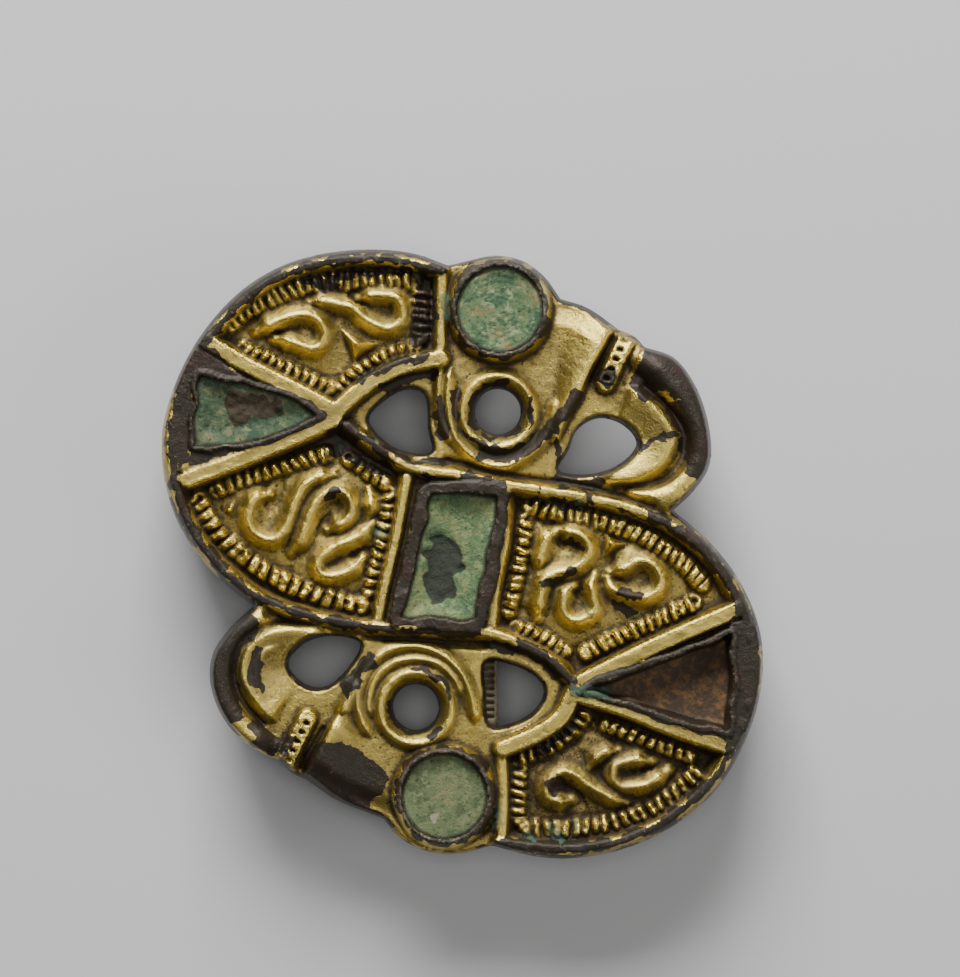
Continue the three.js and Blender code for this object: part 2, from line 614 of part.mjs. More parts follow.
// The catch: a ledge under the neck, a wall down to the table and a lip that turns under the pin
function catchPlate() {
  const innerX = catchTipX + catchLip;
  const outerX = innerX + catchThickness;
  const shape = new THREE.Shape([
    new THREE.Vector2(catchTipX, 0),
    new THREE.Vector2(outerX, 0),
    new THREE.Vector2(outerX, backZ + catchLedge),
    new THREE.Vector2(innerX - catchThickness, backZ + catchLedge),
    new THREE.Vector2(innerX, backZ - catchThickness),
    new THREE.Vector2(innerX, catchLipThickness),
    new THREE.Vector2(catchTipX + catchLipThickness, catchLipThickness),
    new THREE.Vector2(catchTipX, catchLipThickness + catchLipUpturn),
  ]);
  const geometry = new THREE.ExtrudeGeometry(shape, { depth: catchLength, bevelEnabled: false });
  const axes = [new THREE.Vector3(1, 0, 0), new THREE.Vector3(0, 0, 1), new THREE.Vector3(0, -1, 0)];
  geometry.applyMatrix4(new THREE.Matrix4().makeBasis(...axes));
  geometry.translate(0, catchTopY, 0);
  const notches = Array.from({ length: Math.floor(catchLength / notchPitch) }, (_, i) => {
    const notch = new THREE.BoxGeometry(notchWidth * 2, notchPitch / 2, notchDepth * 2);
    notch.translate(innerX - notchWidth / 2, catchTopY - (i + 0.5) * notchPitch, backZ + catchLedge);
    return solidOf(notch);
  });
  return notches.reduce((body, notch) => body.subtract(notch), solidOf(geometry));
}

function axleRod() {
  const length = lugRightX + lugThickness - lugLeftX + axleOverhang * 2;
  const geometry = new THREE.CylinderGeometry(axleDiameter / 2, axleDiameter / 2, length, 16);
  geometry.rotateZ(Math.PI / 2);
  geometry.translate((lugLeftX + lugRightX + lugThickness) / 2, coilY, coilZ);
  return solidOf(geometry);
}

// The pin: an anchor leg that bears on the plate, the coil, and the needle down to its point
function sprungPin() {
  const path = [];
  const startX = needleX - coilLength;
  path.push(new THREE.Vector3(startX, coilY - anchorLength, coilZ + coilRadius));
  const steps = Math.round((coilTurns + halfTurn) * coilFacets);
  for (let i = 0; i <= steps; i += 1) {
    const turn = Math.PI / 2 - (i / coilFacets) * Math.PI * 2;
    path.push(new THREE.Vector3(
      startX + (coilLength * i) / steps,
      coilY + coilRadius * Math.cos(turn),
      coilZ + coilRadius * Math.sin(turn),
    ));
  }
  const pointY = catchTopY - catchLength - pinPast;
  const needle = coilY - pointY;
  const shoulder = 1 - pinPointLength / needle;
  [shoulder / 2, shoulder, 1].forEach((share) => {
    path.push(new THREE.Vector3(needleX, coilY - needle * share, coilZ - coilRadius + pinRise * share));
  });
  const last = path.length - 1;
  return solidOf(wire(path, (i) => (i === last ? pinPointDiameter : wireDiameter) / 2));
}

function casting() {
  const raised = join([plate(), ...raisedWork(), ...collars(), ...headsWithBrows(), ...cellWalls()]);
  const cut = join([...wells(), ...bandPits()]);
  const fittings = [lug(lugLeftX), lug(lugRightX), catchPlate()];
  return fittings.reduce((body, fitting) => body.add(fitting), raised.subtract(cut));
}

function eyeInlay(centre) {
  const radius = eyeInnerRadius - inlayGap;
  const low = backZ + eyeWellHeight + inlayGap / 2;
  const high = low + eyeInlayThickness;
  return turned(centre, [[0, low], [radius, low], [radius, high - inlayCrown],
    [radius - inlayEdge, high], [0, high]]);
}

function cellInlay(corners) {
  const low = backZ + cellFloorHeight + inlayGap / 2;
  return stack(corneredLine(corners), [[low, inlayGap], [low + inlayThickness, inlayGap]]);
}

const giltBronze = { color: 0xa8842f, roughness: 0.42, metalness: 1 };
const greenCrust = { color: 0x6f9179, roughness: 0.95, metalness: 0 };
const rustedIron = { color: 0x4a382c, roughness: 0.8, metalness: 0.3 };

const brooch = new THREE.Group();
const pieces = [
  ['brooch_casting', casting(), giltBronze],
  ['upper_eye_inlay', eyeInlay(eyes.upper), greenCrust],
  ['lower_eye_inlay', eyeInlay(eyes.lower), greenCrust],
  ['left_cell_inlay', cellInlay(cells.left), greenCrust],
  ['centre_cell_inlay', cellInlay(cells.centre), greenCrust],
  ['spring_axle', axleRod(), rustedIron],
  ['spring_pin', sprungPin(), rustedIron],
];
pieces.forEach(([name, solid, look]) => {
  const mesh = new THREE.Mesh(geometryOf(solid), new THREE.MeshStandardMaterial(look));
  mesh.name = name;
  brooch.add(mesh);
});

export default brooch;
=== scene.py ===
import math

import bpy
import numpy as np
from mathutils.geometry import delaunay_2d_cdt
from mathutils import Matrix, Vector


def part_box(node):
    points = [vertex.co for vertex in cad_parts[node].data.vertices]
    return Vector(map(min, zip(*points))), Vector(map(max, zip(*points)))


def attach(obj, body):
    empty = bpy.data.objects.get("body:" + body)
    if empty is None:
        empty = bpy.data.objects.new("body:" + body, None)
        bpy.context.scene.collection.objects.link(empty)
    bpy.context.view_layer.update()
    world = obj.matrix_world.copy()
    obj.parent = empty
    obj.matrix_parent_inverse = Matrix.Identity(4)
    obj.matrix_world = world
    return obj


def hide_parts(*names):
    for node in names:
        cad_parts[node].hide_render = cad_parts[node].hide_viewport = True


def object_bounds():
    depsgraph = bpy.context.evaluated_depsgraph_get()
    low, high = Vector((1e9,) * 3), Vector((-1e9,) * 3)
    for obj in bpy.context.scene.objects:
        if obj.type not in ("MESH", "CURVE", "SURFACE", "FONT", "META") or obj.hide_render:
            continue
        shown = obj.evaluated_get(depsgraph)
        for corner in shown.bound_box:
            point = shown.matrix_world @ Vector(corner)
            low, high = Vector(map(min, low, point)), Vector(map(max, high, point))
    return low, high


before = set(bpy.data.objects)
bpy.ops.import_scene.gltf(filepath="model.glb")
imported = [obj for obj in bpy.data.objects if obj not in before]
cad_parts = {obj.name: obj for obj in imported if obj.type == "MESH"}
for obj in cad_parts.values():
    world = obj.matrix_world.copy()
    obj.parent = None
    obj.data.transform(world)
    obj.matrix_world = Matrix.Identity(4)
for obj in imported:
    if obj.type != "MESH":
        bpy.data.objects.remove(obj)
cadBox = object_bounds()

# S-shaped fibula with two bird heads: fire-gilt cast bronze with green crusts in its cells, lying face up.
# Plan places are millimetres from the middle of the brooch, +Y to the top of the face, and heights are
# millimetres above the flat back of the plate. Every mesh is turned to metres when it is made.
mm = 0.001
inlayUnderside = 1.5  # where the eyes' inlays of the CAD part start above the plate's back
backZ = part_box("upper_eye_inlay")[0][2] / mm - inlayUnderside  # the plate's back above the table
nowhere = -9.0        # height of a form where it isn't, below all others
pairsAtOnce = 2000000  # most pairs of a point and a stretch of line that are worked out together
random = np.random.default_rng(7)


# Curves and distances

# A smooth line through points, by centripetal Catmull-Rom: from b to c runs the cubic that leaves b with
# the slope bc ((b - a) / ab - (c - a) / (ab + bc) + (c - b) / bc) and reaches c with the same of b, c and
# d, where ab is the root of the distance from a to b. Its points stand at equal steps along its length.
def smoothLine(points, step=0.25, closed=False, perPiece=24):
    p = np.array(points, float)
    if closed:
        p = np.vstack([p[-1], p, p[0], p[1]])
    else:
        p = np.vstack([2 * p[0] - p[1], p, 2 * p[-1] - p[-2]])
    pieces = []
    t = np.linspace(0, 1, perPiece, endpoint=False)[:, None]
    for a, b, c, d in zip(p[:-3], p[1:-2], p[2:-1], p[3:]):
        ab, bc, cd = (max(np.hypot(*(n - m)), 1e-6) ** 0.5 for m, n in ((a, b), (b, c), (c, d)))
        startSlope = bc * ((b - a) / ab - (c - a) / (ab + bc) + (c - b) / bc)
        endSlope = bc * ((c - b) / bc - (d - b) / (bc + cd) + (d - c) / cd)
        pieces.append((2 * t**3 - 3 * t**2 + 1) * b + (t**3 - 2 * t**2 + t) * startSlope
                      + (3 * t**2 - 2 * t**3) * c + (t**3 - t**2) * endSlope)
    fine = np.vstack(pieces + [p[-2][None, :]])
    length = np.concatenate([[0], np.cumsum(np.hypot(*np.diff(fine, axis=0).T))])
    count = max(3, int(round(length[-1] / step)) + 1)
    at = np.linspace(0, length[-1], count)
    line = np.column_stack([np.interp(at, length, axis) for axis in fine.T])
    return line[:-1] if closed else line


# The sum of the distances from each point to the next
def lineLength(line):
    return np.hypot(*np.diff(line, axis=0).T).sum()


# An arc as points: centre + radius (cos, sin) from one angle in degrees to another
def arc(centre, radius, start, end):
    turn = np.radians(np.linspace(start, end, 14))
    return np.column_stack([centre[0] + radius * np.cos(turn), centre[1] + radius * np.sin(turn)])


# Indices in groups that each keep to pairsAtOnce when every one is paired with a number of others
def groups(index, others):
    return np.array_split(index, len(index) * others // pairsAtOnce + 1)


# For each point: the distance to the nearest place on a line, how far along that place is, and the side of
# the line that the point is on, 1 to the left and -1 to the right. On a stretch from a to b the place is a
# + t (b - a), with t = (p - a) . (b - a) / |b - a|^2 held between 0 and 1. Points beyond reach keep it as
# their distance.
def measure(line, x, y, reach, closed=False):
    line = np.asarray(line, float)
    start, end = (line, np.roll(line, -1, axis=0)) if closed else (line[:-1], line[1:])
    along = end - start
    size = np.hypot(along[:, 0], along[:, 1])
    before = np.concatenate([[0], np.cumsum(size)])[:-1]
    distance = np.full(x.shape, float(reach))
    place = np.zeros(x.shape)
    side = np.ones(x.shape)
    low, high = line.min(axis=0) - reach, line.max(axis=0) + reach
    near = np.nonzero((x > low[0]) & (x < high[0]) & (y > low[1]) & (y < high[1]))[0]
    for part in groups(near, len(start)):
        dx = x[part, None] - start[:, 0]
        dy = y[part, None] - start[:, 1]
        t = np.clip((dx * along[:, 0] + dy * along[:, 1]) / size**2, 0, 1)
        gap = np.hypot(dx - t * along[:, 0], dy - t * along[:, 1])
        best = np.argmin(gap, axis=1)
        row = np.arange(len(part))
        distance[part] = np.minimum(gap[row, best], reach)
        place[part] = before[best] + t[row, best] * size[best]
        cross = along[best, 0] * dy[row, best] - along[best, 1] * dx[row, best]
        side[part] = np.where(cross >= 0, 1, -1)
    return distance, place, side


# True where points lie inside the loops that run from the points a to the points b: an upward ray crosses
# them an odd number of times. It crosses where a and b lie to its two sides and the line between them is
# above.
def enclosed(a, b, x, y):
    result = np.zeros(len(x), bool)
    run = np.where(b[:, 0] == a[:, 0], 1e-9, b[:, 0] - a[:, 0])
    for part in groups(np.arange(len(x)), len(a)):
        px, py = x[part, None], y[part, None]
        spans = (a[:, 0] > px) != (b[:, 0] > px)
        crossing = a[:, 1] + (px - a[:, 0]) / run * (b[:, 1] - a[:, 1])
        result[part] = (spans & (py < crossing)).sum(axis=1) % 2 == 1
    return result


# Distance inwards from a closed line, negative outside it and never more than the reach
def depthInside(line, x, y, reach):
    line = np.asarray(line, float)
    low, high = line.min(axis=0), line.max(axis=0)
    near = np.nonzero((x >= low[0]) & (x <= high[0]) & (y >= low[1]) & (y <= high[1]))[0]
    inside = np.zeros(x.shape, bool)
    inside[near] = enclosed(line, np.roll(line, -1, axis=0), x[near], y[near])
    distance = measure(line, x, y, reach, closed=True)[0]
    return np.where(inside, distance, -distance)


# From 0 at low to 1 at high by t^2 (3 - 2t), and level beyond them
def smoothStep(low, high, value):
    t = np.clip((value - low) / (high - low), 0, 1)
    return t * t * (3 - 2 * t)


# The other way round: from 1 at low down to 0 at high
def fading(low, high, value):
    return 1 - smoothStep(low, high, value)


# 1 at both ends of a line, fading to 0 over a reach
def nearEnds(place, length, reach):
    return fading(0, reach, np.minimum(place, length - place))


# Smooth random bumps from -1 to 1: a lattice of random values, blended between neighbours by t^2 (3 - 2t).
# Size is the lattice's spacing in millimetres, and the seed picks the values.
def unevenness(x, y, size, seed):
    lattice = np.random.default_rng(seed).uniform(-1, 1, (256, 256))
    u, v = x / size + 1000, y / size + 1000  # the lattice repeats, so any start does
    i, j = np.floor(u).astype(int), np.floor(v).astype(int)
    s, t = u - i, v - j
    s, t = s * s * (3 - 2 * s), t * t * (3 - 2 * t)
    i, j, k, m = i % 256, j % 256, (i + 1) % 256, (j + 1) % 256
    return ((lattice[i, j] * (1 - s) + lattice[k, j] * s) * (1 - t)
            + (lattice[i, m] * (1 - s) + lattice[k, m] * s) * t)


# A roof over a line: top within the flat half width, then straight down by the fall over the slope's width
def roof(distance, flat, slope, top, fall):
    return top - np.clip((distance - flat) / slope, 0, 1) * fall


# The higher of two surfaces, with the corner filled: a (1 - g) + b g + soft g (1 - g), where g goes from 0
# to 1 as b rises past a
def blended(a, b, soft=0.06):
    g = np.clip(0.5 + 0.5 * (b - a) / soft, 0, 1)
    return a * (1 - g) + b * g + soft * g * (1 - g)


# Meshes

# Triangles turned so that each starts at its given corner
def startAt(triangles, corner):
    return np.take_along_axis(triangles, (corner[:, None] + np.arange(3)) % 3, axis=1)


# A triangle grid over a box, cut off where the depth falls to 0: an edge from depth d inside to e outside
# is cut at the share d / (d - e) of its length. Returns points and triangles.
def cutGrid(low, high, step, depthOf):
    nx, ny = (int(math.ceil((high[axis] - low[axis]) / step)) + 1 for axis in (0, 1))
    gx, gy = np.meshgrid(low[0] + step * np.arange(nx), low[1] + step * np.arange(ny), indexing="ij")
    x, y = gx.ravel(), gy.ravel()
    depth = depthOf(x, y)
    least = step * 0.04  # points nearer to the edge count as inside, which saves slivers
    depth = np.where(np.abs(depth) < least, least, depth)
    index = np.arange(nx * ny).reshape(nx, ny)
    corners = index[:-1, :-1], index[1:, :-1], index[1:, 1:], index[:-1, 1:]
    a, b, c, d = (corner.ravel() for corner in corners)
    flip = ((np.arange(nx - 1)[:, None] + np.arange(ny - 1)[None, :]) % 2 == 0).ravel()
    first = np.where(flip[:, None], np.column_stack([a, b, c]), np.column_stack([a, b, d]))
    second = np.where(flip[:, None], np.column_stack([a, c, d]), np.column_stack([b, c, d]))
    triangles = np.vstack([first, second])
    kept = depth[triangles] > 0
    count = kept.sum(axis=1)
    whole = triangles[count == 3]
    # with one corner inside, that corner comes first, and with two, the one outside
    lone = startAt(triangles[count == 1], np.argmax(kept[count == 1], axis=1))
    pair = startAt(triangles[count == 2], np.argmin(kept[count == 2], axis=1))
    cuts = np.vstack([lone[:, [0, 1]], lone[:, [0, 2]], pair[:, [1, 0]], pair[:, [2, 0]]])
    cuts, where = np.unique(cuts, axis=0, return_inverse=True)
    where = where.ravel() + nx * ny
    share = depth[cuts[:, 0]] / (depth[cuts[:, 0]] - depth[cuts[:, 1]])
    cutX = x[cuts[:, 0]] + share * (x[cuts[:, 1]] - x[cuts[:, 0]])
    cutY = y[cuts[:, 0]] + share * (y[cuts[:, 1]] - y[cuts[:, 0]])
    n, m = len(lone), len(pair)
    loneFirst, loneLast, pairFirst, pairLast = np.split(where, [n, 2 * n, 2 * n + m])
    faces = np.vstack([
        whole,
        np.column_stack([lone[:, 0], loneFirst, loneLast]),
        np.column_stack([pair[:, 1], pair[:, 2], pairLast]),
        np.column_stack([pair[:, 1], pairLast, pairFirst]),
    ])
    used, faces = np.unique(faces, return_inverse=True)
    points = np.column_stack([np.concatenate([x, cutX]), np.concatenate([y, cutY])])
    return points[used], faces.reshape(-1, 3)


# The open edges of a triangle mesh, each in the direction of its triangle
def openEdges(faces):
    edges = np.vstack([faces[:, [0, 1]], faces[:, [1, 2]], faces[:, [2, 0]]])
    key = edges.min(axis=1) * (faces.max() + 1) + edges.max(axis=1)
    _, first, count = np.unique(key, return_index=True, return_counts=True)
    return edges[first[count == 1]]


# Triangles, counter-clockwise, that fill the loops given as edges between plane points: of a net over all the
# points, those whose middle the loops enclose
def fillLoops(points, edges):
    drawn = delaunay_2d_cdt(points.tolist(), edges.tolist(), [], 0, 1e-7)
    triangles = np.array(drawn[2])
    centre = np.array([list(v) for v in drawn[0]])[triangles].mean(axis=1)
    return triangles[enclosed(points[edges[:, 0]], points[edges[:, 1]], centre[:, 0], centre[:, 1])]


# The faces of a tube of rings with as many points each, closed round and capped by flat ends
def tubeFaces(rings, sides):
    i, j = np.meshgrid(np.arange(rings - 1), np.arange(sides), indexing="ij")
    k, m = i + 1, (j + 1) % sides
    faces = np.stack([i * sides + j, i * sides + m, k * sides + m, k * sides + j], axis=-1)
    first = list(range(sides))[::-1]
    last = [(rings - 1) * sides + j for j in range(sides)]
    return faces.reshape(-1, 4).tolist() + [first, last]


# One mesh out of several, with each part's faces counted on past the points before it
def joined(parts):
    points, faces, count = [], [], 0
    for somePoints, someFaces in parts:
        points.append(somePoints)
        faces += [[i + count for i in face] for face in someFaces]
        count += len(somePoints)
    return np.vstack(points), faces


# An object in the scene with smooth shading, its points turned from millimetres to metres
def makeObject(name, points, faces):
    mesh = bpy.data.meshes.new(name)
    mesh.from_pydata((np.asarray(points) * mm).tolist(), [], [list(map(int, f)) for f in faces])
    mesh.validate()
    mesh.update()
    mesh.polygons.foreach_set("use_smooth", np.ones(len(mesh.polygons), bool))
    piece = bpy.data.objects.new(name, mesh)
    bpy.context.scene.collection.objects.link(piece)
    return piece


# Gives each point of a mesh a value; the last points, which have none, share one
def giveValues(piece, name, values, last=0.0):
    missing = len(piece.data.vertices) - len(values)
    layer = piece.data.attributes.new(name, "FLOAT", "POINT")
    layer.data.foreach_set("value", np.concatenate([values, np.full(missing, last)]).astype(np.float32))


# A closed body: a relief over the plane, upright sides and a flat bottom with low bumps. The relief's
# border may be held to a foot height. Also returns the values at the relief's points.
def relief(low, high, step, depthOf, surfaceOf, bottom, foot=None, bumps=0.0):
    points, faces = cutGrid(low, high, step, depthOf)
    height, *values = surfaceOf(points[:, 0], points[:, 1])
    border = openEdges(faces)
    rim = np.unique(border)
    if foot is not None:
        height[rim] = foot
    count = len(points)
    order = np.full(count, -1)
    order[rim] = np.arange(len(rim))
    lower = order + count
    walls = np.vstack([
        np.column_stack([border[:, 1], border[:, 0], lower[border[:, 0]]]),
        np.column_stack([border[:, 1], lower[border[:, 0]], lower[border[:, 1]]]),
    ])
    spread = 0.7  # between the points of the bottom, which stand in staggered rows
    rowGap = spread * 0.87
    gx, gy = np.meshgrid(np.arange(low[0], high[0], spread), np.arange(low[1], high[1], rowGap))
    gx = gx + spread / 2 * (np.arange(gx.shape[0]) % 2)[:, None]
    gx, gy = gx.ravel(), gy.ravel()
    deep = depthOf(gx, gy) > spread * 0.6
    middle = np.column_stack([gx[deep], gy[deep]])
    below = fillLoops(np.vstack([points[rim], middle]), order[border])
    middleZ = bottom + bumps * unevenness(middle[:, 0], middle[:, 1], 1.7, 21)
    allPoints = np.vstack([
        np.column_stack([points, height]),
        np.column_stack([points[rim], np.full(len(rim), bottom)]),
        np.column_stack([middle, middleZ]),
    ])
    return allPoints, np.vstack([faces, walls, below[:, ::-1] + count]).tolist(), values


# A closed line with its corners rounded: (1-t)^2 a + 2t (1-t) corner + t^2 b, where a and b stand a radius
# before and after the corner
def rounded(corners, radius, parts=4):
    p = np.array(corners, float)
    before, after = np.roll(p, 1, axis=0) - p, np.roll(p, -1, axis=0) - p
    reachBefore = np.minimum(radius, np.hypot(*before.T) * 0.45)[:, None]
    reachAfter = np.minimum(radius, np.hypot(*after.T) * 0.45)[:, None]
    a = p + before / np.hypot(*before.T)[:, None] * reachBefore
    b = p + after / np.hypot(*after.T)[:, None] * reachAfter
    t = np.linspace(0, 1, parts)[None, :, None]
    return ((1 - t) ** 2 * a[:, None] + 2 * t * (1 - t) * p[:, None] + t**2 * b[:, None]).reshape(-1, 2)


# A closed line moved to its left by a distance, which is into the material when outlines run counter-
# clockwise
def drawnIn(line, distance):
    along = np.roll(line, -1, axis=0) - np.roll(line, 1, axis=0)
    along = along / np.maximum(np.hypot(*along.T), 1e-9)[:, None]
    return line + distance * np.column_stack([-along[:, 1], along[:, 0]])


# A body through levels, each a depth and its loops: quads from each level to the next, and flat ends
def slab(levels):
    depths, sections = zip(*levels)
    sizes = [len(loop) for loop in sections[0]]
    count = sum(sizes)
    points = np.vstack([np.column_stack([np.vstack(loops), np.full(count, depth)])
                        for depth, loops in zip(depths, sections)])
    starts = np.cumsum([0] + sizes[:-1])
    a = np.arange(count)
    b = np.concatenate([start + (np.arange(size) + 1) % size for start, size in zip(starts, sizes)])
    k = (np.arange(len(levels) - 1) * count)[:, None]
    sides = np.stack([a + k, b + k, b + k + count, a + k + count], axis=-1).reshape(-1, 4).tolist()
    edges = np.column_stack([a, b])
    first = fillLoops(points[:count, :2], edges)[:, ::-1]
    last = fillLoops(points[-count:, :2], edges) + (len(levels) - 1) * count
    return points, sides + first.tolist() + last.tolist()


# The face of the casting

# Plan of the plate, heights above its back, and how its edges are worked
plate = {
    "outline": [  # each stretch is one smooth curve; they meet at notches and corners
        [(-0.9, 18.9), (-3, 19.65), (-5.5, 19.95), (-9, 19.7), (-12, 18.8), (-14.8, 17), (-17.5, 13.8),
         (-19.3, 9.8), (-19.75, 6.8), (-19, 2.8), (-16.9, -0.7), (-13.7, -3.5)],
        [(-13.7, -3.5), (-15.2, -4.9), (-16.4, -6.7), (-16.5, -8.8), (-15.4, -11.3), (-13.3, -13.1),
         (-11.9, -13.7)],
        [(-11.9, -13.7), (-11.2, -14.45), (-10.2, -14.9)],
        [(-10.2, -14.9), (-8.3, -16.2), (-5.1, -17.5)],
        [(-5.1, -17.5), (-4.2, -18.6), (-2.5, -19.55), (-0.5, -19.8), (2, -19.25)],
        [(2, -19.25), (4.5, -19.9), (7, -20.1), (10.5, -19.5), (14, -17.9), (17, -15.2), (19.1, -11.2),
         (19.8, -7.7), (19.5, -4.7), (18, -1.4), (16, 1), (13.9, 2.8)],
        [(13.9, 2.8), (15, 3.8), (16.2, 5.5), (16.4, 7.3), (15.6, 10.5), (14, 12.8), (12, 13.55)],
        [(12, 13.55), (11.4, 14.2), (10.3, 14.7)],
        [(10.3, 14.7), (8.3, 16.1), (6.5, 16.7)],
        [(6.5, 16.7), (5.4, 18.2), (4, 19.2), (2.2, 19.55), (0.4, 19.2), (-0.9, 18.9)],
    ],
    "openings": [
        [(-2.5, 10.4), (-2.2, 8), (-2, 6.7), (-3.5, 6.6), (-5, 7.3), (-6.1, 8.8), (-5.1, 10), (-3.6, 10.75)],
        [(6.35, 5.5), (8, 5.15), (10.3, 5.8), (11.5, 7.2), (10.6, 8.4), (9, 8.85), (7.6, 8.1), (7, 6.7)],
        [(1.6, -7.2), (3.4, -7.4), (5, -8.3), (5.4, -9.2), (4.7, -10.4), (3.4, -11.15), (1.9, -11.3),
         (1.6, -9.2)],
        [(-11.4, -7.3), (-10.6, -6.15), (-9, -5.5), (-6.7, -5.95), (-7.6, -7.7), (-9, -8.8), (-10.4, -8.6)],
    ],
    "rings": [(2.37, 9.28), (-3.02, -10.14)],
    "ringHole": 1.5,
    "foot": 0.5,        # upright part of the edge
    "outerWall": 0.62,  # how far in the wall reaches its full height
    "shoulders": [[(6.6, 16.6), (8.3, 16), (10.2, 14.75)], [(-9.9, -15), (-8.3, -15.9), (-5.6, -17)]],
    "shoulderWall": 1.2,
    "shoulderBevel": 0.5,
    "openingWall": 0.75,
    "wallRise": 3.0,
    "panelFloor": 1.5,
    "headFloor": 2.05,
    "highest": 3.29,   # the CAD part's walls are no higher
    "step": 0.115,     # grid of the carved face
}

# Crests of the bird heads: a line, its top, the widths to its left and right over which it falls, and how far
crests = [
    # upper bird: the frame of its neck, the horseshoe round the ring, and its second line
    {"line": [(-1.25, 13.2), (-1.5, 10.9), (-1.4, 9), (-0.9, 7.7), (-0.1, 6.7)], "top": 2.5,
     "widths": (0.5, 0.5), "fall": 0.55},
    {"line": [(-0.6, 12.6), (-0.84, 11.4), (-0.9, 9.65), (-0.28, 7.43), (1.44, 5.93), (2.8, 5.74),
              (4.03, 6.25), (5.27, 7.36), (5.86, 8.6), (6.37, 10.76)], "top": 2.62, "widths": (0.6, 0.6),
     "fall": 0.6},
    # upper beak: the inner crest, gentle towards the opening, and the worn outer barrel
    {"line": [(8.9, 4.75), (11.43, 5.05), (13.03, 5.95), (13.75, 7.3), (13.75, 7.9), (13.03, 9.03),
              (11.68, 10.3), (10.6, 11)], "top": 2.75, "widths": (2.6, 0.7), "fall": 0.8},
    {"line": [(11.5, 3.6), (13.4, 3.75), (14.8, 4.9), (15.55, 6.3), (15.6, 7.8), (15, 9.4), (13.9, 10.95),
              (12.6, 12.2), (11.9, 12.6)], "top": 2.95, "widths": (1.25, 1.35), "fall": 1.1,
     "form": "barrel", "ends": 0.2},
    # upper brow: one crest from the edge down past the ring, gentle towards the eye and steep to the band
    {"line": [(10.5, 16.1), (9.8, 14.9), (9.1, 13.6), (8.3, 12.1), (7.5, 10.3), (6.7, 8.9), (6.2, 7.6)],
     "top": 3.0, "widths": (0.5, 4.4), "endWidths": (0.6, 1), "fall": 1.1, "form": "swell", "ends": 0.2},
    # lower bird: ring lines, neck and beak
    {"line": [(-5.7, -12.4), (-6.5, -11), (-6.85, -9.4), (-6.2, -7.6), (-4.9, -6.4), (-3, -6.05),
              (-1.2, -6.7), (0.1, -8), (0.75, -9.9), (0.9, -11.6)], "top": 2.62, "widths": (0.6, 0.6),
     "fall": 0.6},
    {"line": [(-5.7, -11.3), (-6.1, -9.9), (-5.7, -8.3), (-4.6, -7.25), (-3, -6.9), (-1.4, -7.3),
              (-0.3, -8.5), (0.05, -10)], "top": 2.5, "widths": (0.45, 0.45), "fall": 0.45},
    {"line": [(-8.4, -4.85), (-10.6, -4.95), (-12.9, -5.4), (-14.1, -6.6), (-14.3, -8), (-13.7, -9.3),
              (-12.6, -10.6), (-11.9, -11.2)], "top": 2.75, "widths": (2.4, 0.7), "fall": 0.8},
    {"line": [(-12, -4), (-13.6, -4.5), (-15, -5.7), (-15.75, -7.2), (-15.8, -8.7), (-15.1, -10.4),
              (-13.8, -11.9), (-12.3, -12.6)], "top": 2.95, "widths": (1.25, 1.35), "fall": 1.1,
     "form": "barrel"},
    {"line": [(-11.8, -5.9), (-13, -6.5), (-13.5, -7.6), (-13.3, -8.9), (-12.7, -9.9)], "top": 2.72,
     "widths": (0.35, 0.35), "fall": 0.25, "ends": 0.2},
    {"line": [(-10.6, -15.6), (-10, -14.4), (-9.2, -12.9), (-8.5, -11.6), (-7.9, -10.4)], "top": 2.9,
     "widths": (0.5, 5.6), "endWidths": (0.6, 2.4), "fall": 1, "form": "swell", "ends": 0.5},
    {"line": [(-8.3, -11.2), (-7.6, -10), (-7, -8.8), (-6.7, -7.6)], "top": 2.7, "widths": (0.7, 0.7),
     "fall": 0.65},
]

# A crest along a line: top - fall f(t), where t is the distance over the width. The width goes evenly from
# widths to endWidths, to the left and to the right, and the crest sinks by ends towards its ends. A ridge
# falls by f = sqrt(t^2 + 0.01) - 0.1, a barrel by t^2, and a swell by sin^2(pi t / 2).
def crestHeight(line, x, y, top, widths, fall, endWidths=None, form="ridge", ends=0.7):
    endWidths = endWidths or widths
    distance, place, side = measure(line, x, y, max(*widths, *endWidths))
    length = lineLength(line)
    share = np.clip(place / length, 0, 1)
    left, right = (width + (end - width) * share for width, end in zip(widths, endWidths))
    t = distance / np.where(side > 0, left, right)
    drop = {"ridge": np.sqrt(t * t + 0.01) - 0.1, "barrel": t * t, "swell": np.sin(np.pi / 2 * t) ** 2}[form]
    return np.where(t < 1, top - ends * nearEnds(place, length, 1.2) - fall * drop, nowhere)


# Grooves cut into the heads: middle line, half width and depth
grooves = [
    ([(10.3, 14.75), (9.5, 13.1), (8.6, 11.3)], 0.25, 0.2),
    ([(11.75, 13.6), (10.6, 11)], 0.18, 0.15),
    ([(10, 4.35), (12.66, 4.47), (14.27, 5.58), (14.75, 7.19), (14.5, 8.3), (13.53, 9.5), (11.92, 10.9)],
     0.35, 0.35),
    ([(-10.85, -14.7), (-9.95, -12.95), (-9.1, -11.5)], 0.26, 0.3),
    ([(-9, -4.3), (-12.6, -4.6), (-14.5, -5.9), (-15, -7.6), (-14.6, -9.4), (-13, -11.3)], 0.3, 0.3),
    ([(-1, 6), (1.5, 5.25), (5, 4.6), (9, 4), (12.5, 3.1)], 0.5, 0.45),
    ([(-12.6, -3.9), (-9, -4.9), (-5, -5.4), (-1, -5.75), (1.4, -6)], 0.5, 0.4),
]

# Raised rings round the holes in the heads: a bevel up from the hole to the crest, then a slope down outside
rings = {"low": 1.75, "top": 2.6, "bevel": (1.4, 2.35), "crest": 2.4, "slope": 1.1, "outside": 2.9}

